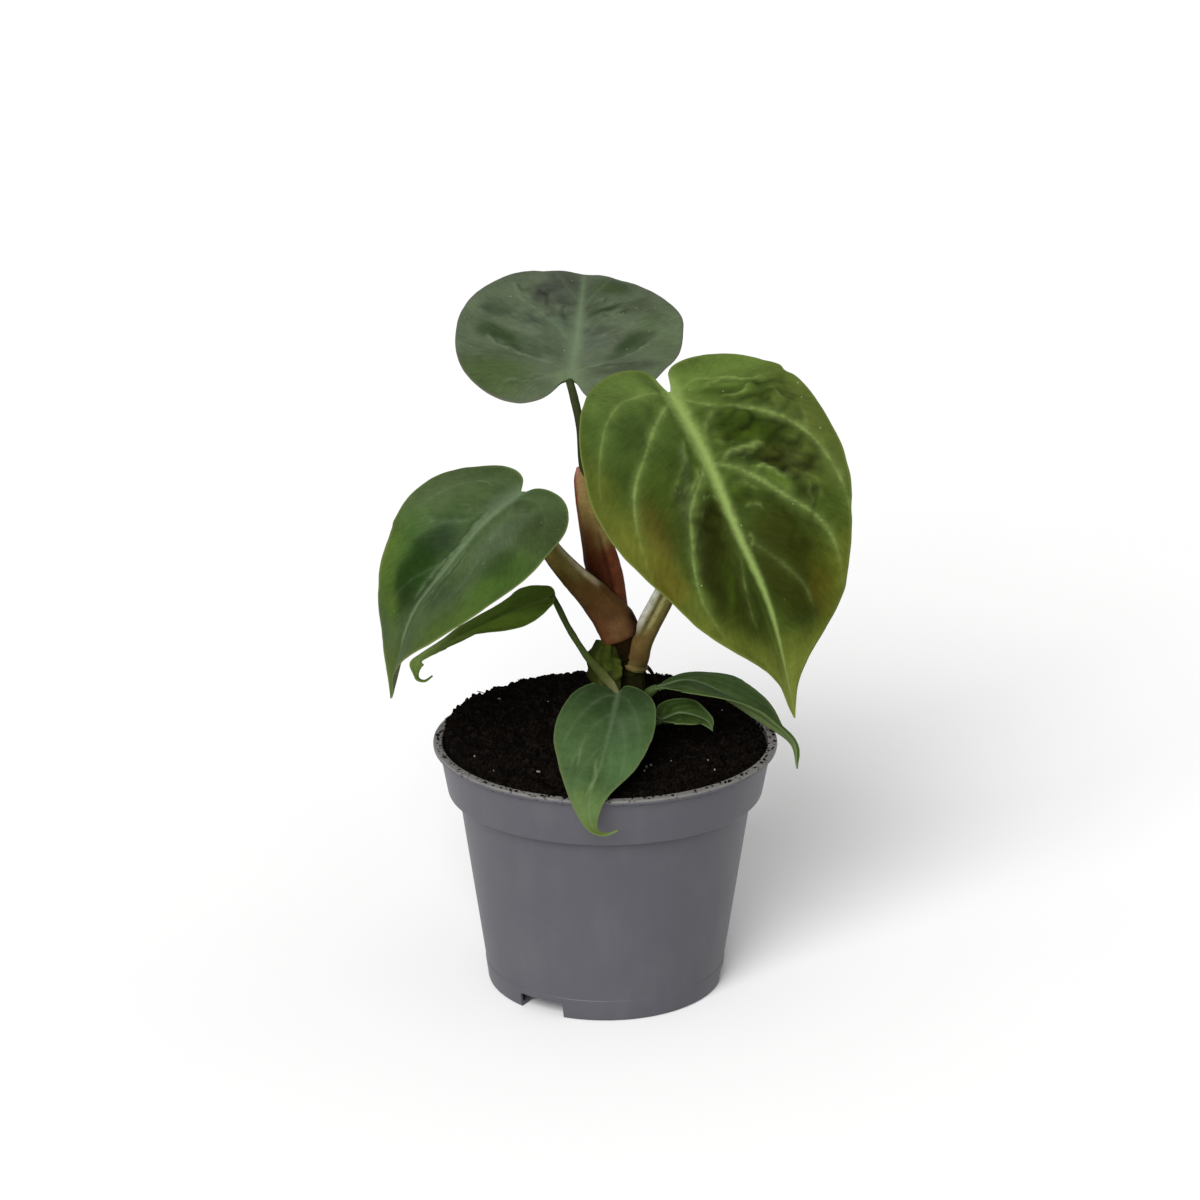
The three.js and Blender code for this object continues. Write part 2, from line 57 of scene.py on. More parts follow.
VIEWER = np.array([0.0, -1.0, 0.0])

Colour = tuple[float, float, float]
Point = tuple[float, float, float]
Array = np.ndarray
Settings = dict[str, Any]
Inputs = dict[Any, Any]


class Slot(Enum):
    """Names of material slots, which the pieces carry but nothing reads."""

    POT = "pot"
    SOIL = "soil"
    STEM = "stem"
    ROOT = "root"
    RED_PETIOLE = "red_petiole"
    RED_SHEATH = "red_sheath"
    PALE_PETIOLE = "pale_petiole"
    GREEN_PETIOLE = "green_petiole"
    DARK_LEAF = "dark_leaf"
    BRIGHT_LEAF = "bright_leaf"
    YOUNG_LEAF = "young_leaf"


class Half(Enum):
    """The halves of a blade, for a viewer who looks along its midrib at the upper face."""

    RIGHT = 1
    LEFT = -1


class Signal:
    """A shader value, on which sums are written as Python expressions."""

    def __init__(self, paint: "Paint", socket: bpy.types.NodeSocket) -> None:
        """Wraps the output of a node in a material."""
        self.paint = paint
        self.socket = socket

    def _sum(self, operation: str, *values: Any) -> "Signal":
        """The result of a Math node on signals or numbers."""
        return self.paint.signal("ShaderNodeMath", {"operation": operation}, dict(enumerate(values)))

    def __add__(self, other: Any) -> "Signal":
        """This value plus another."""
        return self._sum("ADD", self, other)

    def __radd__(self, other: Any) -> "Signal":
        """Another value plus this one."""
        return self._sum("ADD", other, self)

    def __sub__(self, other: Any) -> "Signal":
        """This value less another."""
        return self._sum("SUBTRACT", self, other)

    def __rsub__(self, other: Any) -> "Signal":
        """Another value less this one."""
        return self._sum("SUBTRACT", other, self)

    def __mul__(self, other: Any) -> "Signal":
        """This value times another."""
        return self._sum("MULTIPLY", self, other)

    def __rmul__(self, other: Any) -> "Signal":
        """Another value times this one."""
        return self._sum("MULTIPLY", other, self)

    def step(self, low: float, high: float) -> "Signal":
        """A soft step from 0 to 1 as this value goes from low to high."""
        settings = {"interpolation_type": "SMOOTHSTEP"}
        return self.paint.signal("ShaderNodeMapRange", settings, {0: self, 1: low, 2: high})


class Bench:
    """A node tree in the making."""

    def __init__(self, tree: bpy.types.NodeTree) -> None:
        """Works on a tree."""
        self.tree = tree

    def node(self, kind: str, settings: Settings | None = None, inputs: Inputs | None = None) -> Any:
        """Adds a node.

        Args:
            kind: The node's type.
            settings: Its properties, which are set first.
            inputs: Values or links of its sockets, by name or number.

        Returns:
            The node.
        """
        made = self.tree.nodes.new(kind)
        for key, value in (settings or {}).items():
            setattr(made, key, value)
        for key, value in (inputs or {}).items():
            self.feed(made.inputs[key], value)
        return made

    def feed(self, socket: bpy.types.NodeSocket, value: Any) -> None:
        """Links or sets an input.

        Args:
            socket: The input.
            value: A signal, a node's output, a colour, a vector or a number.
        """
        source = value.socket if isinstance(value, Signal) else value
        if isinstance(source, bpy.types.NodeSocket):
            self.tree.links.new(source, socket)
        elif socket.type == "RGBA":
            socket.default_value = (*source, 1.0)
        else:
            socket.default_value = source


class Paint(Bench):
    """A material in the making, with one Principled shader."""

    def __init__(self, name: str) -> None:
        """Starts a material.

        Args:
            name: The material's name.
        """
        self.material = bpy.data.materials.new(name)
        self.material.use_nodes = True
        super().__init__(self.material.node_tree)
        self.tree.nodes.clear()
        self.shader = self.node("ShaderNodeBsdfPrincipled")
        self.node("ShaderNodeOutputMaterial", inputs={"Surface": self.shader.outputs[0]})
        self.place = self.signal("ShaderNodeTexCoord", output="Object")

    def signal(
        self,
        kind: str,
        settings: Settings | None = None,
        inputs: Inputs | None = None,
        output: int | str = 0,
    ) -> Signal:
        """The named or numbered output of a new node."""
        return Signal(self, self.node(kind, settings, inputs).outputs[output])

    def mark(self, name: str, part: str = "Fac") -> Signal:
        """What the mesh holds at each of its points, as a number or, with the part Color, as a colour."""
        return self.signal("ShaderNodeAttribute", {"attribute_name": name}, output=part)

    def grid(self, name: str) -> Signal:
        """The mesh's own UV map."""
        return self.signal("ShaderNodeUVMap", {"uv_map": name})

    def scaled(self, colour: Any, share: Signal) -> Signal:
        """A colour made lighter or darker."""
        return self.signal("ShaderNodeVectorMath", {"operation": "SCALE"}, {0: colour, "Scale": share})

    def stretched(self, way: Signal, scale: Point) -> Signal:
        """A vector with each of its parts scaled by its own number."""
        return self.signal("ShaderNodeVectorMath", {"operation": "MULTIPLY"}, {0: way, 1: scale})

    def cloud(
        self, size: float, detail: float = 3.0, rough: float = 0.55, way: Signal | None = None
    ) -> Signal:
        """Soft noise from about 0.25 to 0.75, read along a way or else at the mesh's own place."""
        inputs = {"Vector": way or self.place, "Scale": 1 / size, "Detail": detail, "Roughness": rough}
        return self.signal("ShaderNodeTexNoise", inputs=inputs)

    def cells(self, size: float, feature: str = "F1") -> Signal:
        """The distance to the nearest of scattered points, as a share of the size of a cell."""
        inputs = {"Vector": self.place, "Scale": 1 / size}
        return self.signal("ShaderNodeTexVoronoi", {"feature": feature}, inputs, "Distance")

    def mix(self, share: Any, first: Any, second: Any) -> Signal:
        """A colour between two: the first at a share of 0, the second at 1."""
        return self.signal("ShaderNodeMix", {"data_type": "RGBA"}, {0: share, 6: first, 7: second}, 2)

    def relief(self, height: Signal, depth: float) -> Signal:
        """The normal of a surface with fine relief, whose height of 1 is a depth in metres."""
        return self.signal("ShaderNodeBump", inputs={"Height": height, "Distance": depth, "Strength": 1.0})

    def done(self, **values: Any) -> bpy.types.Material:
        """Feeds the shader.

        Args:
            values: Its inputs, with _ for each space in a name.

        Returns:
            The material.
        """
        for key, value in values.items():
            self.feed(self.shader.inputs[key.replace("_", " ")], value)
        return self.material


@dataclass(frozen=True)
class LeafFinish:
    """The look of a blade: mottled lamina, pale veins and margin, and a paler underside.

    Attributes:
        name: The material's name.
        lamina: The lamina's own colour, before the blade's zones.
        vein: The colour of the veins.
        margin: The colour of the thin edge.
        under: The colour of the lower face.
        vein_share: How clearly the veins show.
        velvet: How much of a velvet sheen it has.
        gloss: How strongly it mirrors.
    """

    name: str
    lamina: Colour
    vein: Colour
    margin: Colour
    under: Colour
    vein_share: float
    velvet: float = 0.0
    gloss: float = 0.01

    FIBRES = (150.0, 7.0, 1.0)
    MEAN_SHADE = 0.66
    CONTRAST = 1.5
    BACK_CONTRAST = 1.2
    SPECK = (0.36, 0.42, 0.3)
    RELIEF = 0.13 * MM

    def material(self) -> bpy.types.Material:
        """Makes the finish.

        Returns:
            The material.
        """
        paint = Paint(self.name)
        glow = paint.mark("glow")
        core = paint.mark("core")
        fibres = paint.cloud(1.0, 3.0, 0.6, paint.stretched(paint.grid("blade"), self.FIBRES))
        patches = paint.cloud(13 * MM, 3.0, 0.5)
        mottle = paint.cloud(2.6 * MM, 4.0, 0.65)
        grain = paint.cloud(0.9 * MM, 3.0, 0.6)
        shade = 0.55 * patches + 0.4 * fibres + 0.3 * mottle + 0.07 * grain - self.MEAN_SHADE
        # The tone mark holds the lamina's colours with painted light and painted shade already in them.
        lamina = paint.scaled(paint.mark("tone", "Color"), 1 + self.CONTRAST * shade)
        veined = paint.mix(glow * (0.25 + 1.5 * mottle) * self.vein_share, lamina, self.vein)
        veined = paint.mix(core * (0.5 + fibres) * self.vein_share, veined, self.vein)
        edged = paint.mix(paint.mark("rim") * 0.85, veined, self.margin)
        specks = (1 - paint.cells(4.2 * MM).step(0.03, 0.075)) * paint.cloud(9 * MM).step(0.53, 0.6)
        edged = paint.mix(0.55 * specks, edged, self.SPECK)
        back = paint.scaled(paint.mix(glow * 0.8, self.under, self.vein), 1 + self.BACK_CONTRAST * shade)
        height = 0.4 * paint.cells(0.5 * MM, "SMOOTH_F1") + 0.5 * fibres
        height = height + 0.8 * paint.cloud(1.4 * MM, 4.0, 0.6)
        return paint.done(
            Base_Color=paint.mix(paint.mark("under"), edged, back),
            Roughness=0.55 + 0.3 * (mottle - 0.5),
            Normal=paint.relief(height, self.RELIEF),
            Sheen_Weight=self.velvet,
            Sheen_Roughness=0.5,
            Sheen_Tint=(0.7, 0.9, 0.6),
            Specular_IOR_Level=self.gloss,
        )


@dataclass(frozen=True)
class StalkFinish:
    """The look of a stalk: streaks and specks over the colours of its mesh.

    Attributes:
        name: The material's name.
        speck: The colour of its specks.
        speck_share: How clearly the specks show.
        roughness: How matt it is.
        gloss: How strongly it mirrors.
    """

    name: str
    speck: Colour
    speck_share: float
    roughness: float = 0.45
    gloss: float = 0.02

    STREAKS = (8.0, 0.14, 1.0)
    MEAN_SHADE = 0.75
    CONTRAST = 1.3
    RELIEF = 0.16 * MM

    def material(self) -> bpy.types.Material:
        """Makes the finish.

        Returns:
            The material.
        """
        paint = Paint(self.name)
        streaks = paint.cloud(1.0, 4.0, 0.6, paint.stretched(paint.grid("stalk"), self.STREAKS))
        cloudy = paint.cloud(3.5 * MM, 4.0, 0.6)
        grain = paint.cloud(0.7 * MM, 3.0, 0.6)
        shade = 0.5 * streaks + 0.6 * cloudy + 0.4 * grain - self.MEAN_SHADE
        # The tone mark holds the stalk's colours, with painted shade and painted highlights on some stalks.
        tone = paint.scaled(paint.mark("tone", "Color"), 1 + self.CONTRAST * shade)
        dots = (1 - paint.cells(0.8 * MM).step(0.14, 0.36)) * paint.cloud(2.6 * MM).step(0.42, 0.58)
        return paint.done(
            Base_Color=paint.mix(dots * self.speck_share, tone, self.speck),
            Roughness=self.roughness + 0.25 * (cloudy - 0.5) + 0.2 * paint.mark("wing"),
            Normal=paint.relief(0.6 * streaks + 0.5 * cloudy + 0.3 * grain, self.RELIEF),
            Specular_IOR_Level=self.gloss,
        )


@dataclass(frozen=True)
class PotFinish:
    """Satin grey moulded plastic, dusty, with dried soil near the lip, and a pale band on the lip's top edge
    that is partly wear and partly a painted highlight.
    """

    name: str
    grey: Colour
    dust: Colour
    mud: Colour
    lip_wear_and_highlight: Colour
    lip_height: float

    RUNS = (1.0, 1.0, 0.22)
    CRUST = (1.0, 1.0, 2.0)
    MUD_REACH = 5.0
    LIP_EDGE = (0.9, 0.35)
    RELIEF = 0.035 * MM

    def material(self) -> bpy.types.Material:
        """Makes the finish.

        Returns:
            The material.
        """
        paint = Paint(self.name)
        height = paint.signal("ShaderNodeSeparateXYZ", inputs={0: paint.place}, output=2)
        smudges = paint.cloud(22 * MM, 4.0, 0.6)
        runs = paint.cloud(7 * MM, 3.0, 0.55, paint.stretched(paint.place, self.RUNS))
        grain = paint.cloud(0.7 * MM, 2.0, 0.5)
        dusty = (0.6 * smudges + 0.4 * runs).step(0.44, 0.68) * 0.09
        tone = paint.mix(dusty, self.grey, self.dust)
        specks = 1 - paint.cells(3.4 * MM).step(0.03, 0.09)
        tone = paint.mix(0.3 * specks * smudges.step(0.5, 0.62), tone, self.dust)
        near_lip = height.step((self.lip_height - self.MUD_REACH) * MM, self.lip_height * MM)
        # The lip's pale top edge: partly wear, partly a painted highlight on its upward face.
        on_lip = height.step(*((self.lip_height - below) * MM for below in self.LIP_EDGE))
        crust = paint.cloud(1.7 * MM, 5.0, 0.7, paint.stretched(paint.place, self.CRUST))
        tone = paint.mix(on_lip * (0.35 + crust), tone, self.lip_wear_and_highlight)
        caked = near_lip * crust.step(0.56, 0.62)
        return paint.done(
            Base_Color=paint.mix(caked * 0.9, tone, self.mud),
            Roughness=0.44 + 0.16 * (smudges - 0.5) + 0.3 * caked,
            Normal=paint.relief(grain * 0.6 + runs * 0.4, self.RELIEF),
            Specular_IOR_Level=0.24,
        )


@dataclass(frozen=True)
class EarthFinish:
    """Damp peat: nearly black, with browner and paler bits."""

    name: str
    dark: Colour
    brown: Colour
    roughness: float = 0.85

    RELIEF = 0.4 * MM

    def material(self) -> bpy.types.Material:
        """Makes the finish.

        Returns:
            The material.
        """
        paint = Paint(self.name)
        clods = paint.cloud(3.5 * MM, 5.0, 0.65)
        bits = paint.cloud(0.8 * MM, 3.0, 0.6)
        return paint.done(
            Base_Color=paint.mix((0.6 * clods + 0.4 * bits).step(0.42, 0.68), self.dark, self.brown),
            Roughness=self.roughness + 0.3 * (bits - 0.5),
            Normal=paint.relief(bits + 0.5 * clods, self.RELIEF),
            Specular_IOR_Level=0.0,
        )


def link(name: str, mesh: bpy.types.Mesh) -> bpy.types.Object:
    """Puts a mesh in the scene, at the origin.

    Args:
        name: The object's name.
        mesh: Its mesh.

    Returns:
        The object.
    """
    piece = bpy.data.objects.new(name, mesh)
    bpy.context.scene.collection.objects.link(piece)
    return piece


def seat(piece: bpy.types.Object, slot: Slot, *nodes: str) -> None:
    """Lets a finished piece ride with the part and stand for its solids.

    Args:
        piece: The piece.
        slot: The material slot of its finish; not used.
        nodes: The solids that it stands for.
    """
    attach(piece, BODY)
    if nodes:
        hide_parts(*nodes)
    LOG.info("%s: %d faces", piece.name, len(piece.data.polygons))


def mesh_of(
    name: str,
    points: Array,
    faces: Array | list[Any],
    finish: bpy.types.Material,
    marks: dict[str, Array] | None = None,
    grid: tuple[str, Array] | None = None,
) -> bpy.types.Mesh:
    """Makes a smooth mesh.

    Args:
        name: The mesh's name.
        points: Its points, in millimetres.
        faces: Its faces, as numbers of points.
        finish: Its material.
        marks: Numbers or colours that it holds at each point, by name.
        grid: The name of its UV map, and where each point is on it.

    Returns:
        The mesh, in metres.
    """
    mesh = bpy.data.meshes.new(name)
    mesh.from_pydata((points * MM).tolist(), [], faces if isinstance(faces, list) else faces.tolist())
    for key, values in (marks or {}).items():
        if values.ndim == 1:
            attribute = mesh.attributes.new(key, "FLOAT", "POINT")
            attribute.data.foreach_set("value", values.astype(np.float32))
        else:
            attribute = mesh.attributes.new(key, "FLOAT_COLOR", "POINT")
            rgba = np.column_stack([values, np.ones(len(values))])
            attribute.data.foreach_set("color", rgba.astype(np.float32).ravel())
    if grid:
        corners = np.zeros(len(mesh.loops), np.int32)
        mesh.loops.foreach_get("vertex_index", corners)
        layer = mesh.uv_layers.new(name=grid[0])
        layer.data.foreach_set("uv", grid[1][corners].astype(np.float32).ravel())
    mesh.polygons.foreach_set("use_smooth", np.ones(len(mesh.polygons), bool))
    mesh.materials.append(finish)
    mesh.update()
    return mesh


def ring_faces(rings: int, sides: int) -> Array:
    """Faces between closed rings of points that follow each other.

    Args:
        rings: How many rings there are.
        sides: How many points each has.

    Returns:
        The faces, as numbers of points.
    """
    number = np.arange(rings * sides).reshape(rings, sides)
    beside = np.roll(number, -1, axis=1)
    return np.stack([number[:-1], beside[:-1], beside[1:], number[1:]], -1).reshape(-1, 4)


def closed_rings(name: str, rings: Array, foot: Any, top: Any, finish: bpy.types.Material) -> bpy.types.Mesh:
    """Makes a closed mesh of rings of points, with a fan of triangles at each end.

    Args:
        name: The mesh's name.
        rings: Its rings, in millimetres.
        foot: The middle of its first end.
        top: The middle of its last end.
        finish: Its material.

    Returns:
        The mesh, in metres.
    """
    count, sides = rings.shape[:2]
    hub = count * sides
    around = [(i, (i + 1) % sides) for i in range(sides)]
    last = hub - sides
    ends = [[hub, j, i] for i, j in around] + [[hub + 1, last + i, last + j] for i, j in around]
    points = np.vstack([rings.reshape(-1, 3), foot, top])
    return mesh_of(name, points, [*ring_faces(count, sides).tolist(), *ends], finish)


def evaluated(piece: bpy.types.Object) -> bpy.types.Mesh:
    """An object's mesh as its modifiers leave it.

    Args:
        piece: The object.

    Returns:
        A new mesh.
    """
    bpy.context.view_layer.update()
    graph = bpy.context.evaluated_depsgraph_get()
    return bpy.data.meshes.new_from_object(piece.evaluated_get(graph), depsgraph=graph)


def unit(vectors: Array) -> Array:
    """Vectors of length 1 with the same directions."""
    return vectors / np.linalg.norm(vectors, axis=-1, keepdims=True)


def shares_of(thousandths: Any) -> Array:
    """Colours that are given in thousandths, as shares."""
    return np.array(thousandths) / 1000


def bell(distance: Array, width: Array | float) -> Array:
    """A bell curve that is 1 at a distance of 0."""
    return np.exp(-((distance / width) ** 2))


def soft(values: Array, low: float, high: float) -> Array:
    """A soft step from 0 to 1 as values go from low to high."""
    share = np.clip((values - low) / (high - low), 0, 1)
    return share * share * (3 - 2 * share)


def ruffle(points: Array, size: float, seed: float = 0.0) -> Array:
    """Soft noise from about -1 to 1 at each point.

    Args:
        points: Places, in millimetres.
        size: The size of the noise's features, in millimetres.
        seed: What sets this noise apart from others.

    Returns:
        The noise at each place.
    """
    shift = Vector((seed, 2.3 * seed, -1.7 * seed))
    flat = (points.reshape(-1, 3) / size).tolist()
    return np.array([noise.noise(Vector(p) + shift) for p in flat]).reshape(points.shape[:-1])


class CentreLine:
    """A smooth line through given points."""

    STEPS = 600

    def __init__(self, points: tuple[Point, ...]) -> None:
        """Prepares the line.

        Args:
            points: The points that it passes through, in millimetres.
        """
        knots = np.array(points, float)
        self.last = len(knots) - 1
        self.knots = np.vstack([2 * knots[0] - knots[1], knots, 2 * knots[-1] - knots[-2]])
        self.shares = np.linspace(0, 1, self.STEPS + 1)
        places, _ = self.at(self.shares)
        steps = np.linalg.norm(np.diff(places, axis=0), axis=1)
        self.lengths = np.concatenate([[0.0], np.cumsum(steps)])
        self.length = float(self.lengths[-1])

    def at(self, share: Array) -> tuple[Array, Array]:
        """The place and direction at shares of the line's spans.

        Args:
            share: Shares from 0 to 1.

        Returns:
            Places, and directions of length 1.
        """
        along = np.clip(share, 0, 1) * self.last
        i = np.minimum(along.astype(int), self.last - 1)
        w = (along - i)[..., None]
        before, start, end, after = (self.knots[i + k] for k in range(4))
        leave = 0.5 * (end - before)
        arrive = 0.5 * (after - start)
        square = -3 * start + 3 * end - 2 * leave - arrive
        cube = 2 * start - 2 * end + leave + arrive
        return start + w * (leave + w * (square + w * cube)), unit(leave + w * (2 * square + 3 * w * cube))

    def by_length(self, share: Array) -> tuple[Array, Array]:
        """The place and direction at shares of the line's length."""
        return self.at(np.interp(share * self.length, self.lengths, self.shares))


@dataclass(frozen=True)
class Outline:
    """Shares of the midrib's length that draw the edge of half a blade."""

    widest: float
    corner: float
    back: float
    open: float
    shoulder: float
    drip: float


@dataclass(frozen=True)
class Vein:
    """A side vein, drawn through points on its half of the blade.

    Attributes:
        points: Shares of the midrib's length and of the half's width.
        strength: How clearly it shows.
    """

    points: tuple[tuple[float, float], ...]
    strength: float = 1.0


@dataclass(frozen=True)
class Zone:
    """A soft patch on a blade.

    Attributes:
        u: Its middle along the midrib, as a share of the length.
        v: Its middle across, as a share of the half's width, and negative on the left half.
        long: Its reach along.
        wide: Its reach across.
        share: How strong it is in its middle.
        colour: The colour that it gives the lamina, in thousandths: the lamina's own tint in some zones,
            painted sheen, painted light and painted shade in others.
        lean: How far it leans, from -1 to 1: above 0, its far end is further right.
    """

    u: float
    v: float
    long: float
    wide: float
    share: float
    colour: Colour = (0.0, 0.0, 0.0)
    lean: float = 0.0

    def over(self, u: Array, v: Array) -> Array:
        """Its strength at places on the blade.

        Args:
            u: Shares of the midrib's length.
            v: Shares of the half's width, negative on the left half.

        Returns:
            The strengths.
        """
        a = (u - self.u) / self.long
        b = (v - self.v) / self.wide
        far = (a * a + b * b - 2 * self.lean * a * b) / (1 - self.lean**2)
        return self.share * np.exp(-(far**1.7))


@dataclass(frozen=True)
class Fold:
    """A fine ridge or crease of a blade: a painted highlight along its crest where its light is above 0, a
    painted dark line where it is below, and painted shade on one side.

    Attributes:
        points: Thousandths of the midrib's length and of the half's width, negative on the left half.
        width: Its half width, in millimetres.
        height: How high it stands, in millimetres, or below 0 how deep it is.
        light: How pale its crest is painted, as a painted highlight, or below 0 how dark its line is painted,
            as painted shade.
        shade: The side that gets painted shade: 1 is to the right of its direction, -1 to the left.
    """

    points: tuple[tuple[float, float], ...]
    width: float
    height: float
    light: float
    shade: int

    STEPS = 90

    def over(self, place: Array, length: float, widths: tuple[float, float]) -> tuple[Array, Array, Array]:
        """What it does at places on the blade.

        Args:
            place: Places along the midrib and to the right of it, in millimetres.
            length: The midrib's length.
            widths: The widths of the right and left halves.

        Returns:
            Its height, its own strength and the strength of the painted shade beside it.
        """
        places = ((u / 1000, v / 1000) for u, v in self.points)
        path = CentreLine(tuple((u * length, v * widths[0 if v > 0 else 1], 0.0) for u, v in places))
        share = np.linspace(0, 1, self.STEPS)
        middle, way = path.by_length(share)
        off = place[..., None, :2] - middle[:, :2]
        gaps = np.hypot(off[..., 0], off[..., 1])
        nearest = gaps.argmin(-1)
        offset = np.take_along_axis(off, nearest[..., None, None], -2)[..., 0, :]
        ahead = way[nearest]
        beside = (ahead[..., 0] * offset[..., 1] - ahead[..., 1] * offset[..., 0]) * self.shade
        gap = gaps.min(-1)
        along = share[nearest]
        fade = soft(along, -0.02, 0.2) * (1 - soft(along, 0.75, 1.02))
        ridge = np.exp(-((gap / self.width) ** 1.4)) * fade
        # The lee side sinks a little and gets painted shade.
        lee = np.exp(-(((beside - 1.5 * self.width) / (1.3 * self.width)) ** 2))
        lee = lee * np.exp(-((gap / (4 * self.width)) ** 4))
        lee = lee * fade * (beside > 0)
        return self.height * (ridge - 0.6 * lee), ridge, lee


@dataclass(frozen=True)
class Dent:
    """A place where a blade's edge lies further in, or below 0 further out.

    Attributes:
        half: The half that it is on.
        at: Its share of the edge, from the lobe's corner to the tip.
        reach: Its reach along the edge.
        depth: Its depth, in millimetres.
    """

    half: Half
    at: float
    reach: float
    depth: float


def cubic(points: tuple[tuple[float, float], ...], share: Array) -> Array:
    """Points of a cubic curve in a plane.

    Args:
        points: Its four control points.
        share: Shares of the curve.

    Returns:
        The points.
    """
    a, b, c, d = (np.array(p) for p in points)
    t = share[..., None]
    s = 1 - t
    return a * s**3 + 3 * b * s * s * t + 3 * c * s * t * t + d * t**3


@dataclass(frozen=True)
class Plan:
    """Half a blade laid flat, on rows of points that sweep from the midrib to the edge.

    Attributes:
        half: Which half it is.
        length: The midrib's length, in millimetres, as all sizes here.
        width: The half's width.
        q: The share of the edge where each point's row ends.
        t: The point's share of its row.
        u: Its place along the midrib.
        v: Its place out from the midrib.
        edge: How far out its row ends.
    """

    half: Half
    length: float
    width: float
    q: Array
    t: Array
    u: Array
    v: Array
    edge: Array

    SLIM = 0.35

    @property
    def flat(self) -> Array:
        """Places along the midrib and to the right of it."""
        return np.stack([self.u, self.half.value * self.v, 0 * self.u], -1)

    @property
    def slim(self) -> Array:
        """How much of its relief each row keeps, down to none at the tip."""
        return np.clip(self.edge / (self.SLIM * self.width), 0, 1)

    def shares(self) -> tuple[Array, Array]:
        """Shares of the length and the width, shaken so that patches get uneven edges."""
        along = self.u / self.length + 0.03 * ruffle(self.flat, 9.0, 1.1)
        return along, self.half.value * self.v / self.width + 0.09 * ruffle(self.flat, 9.0, 2.2)


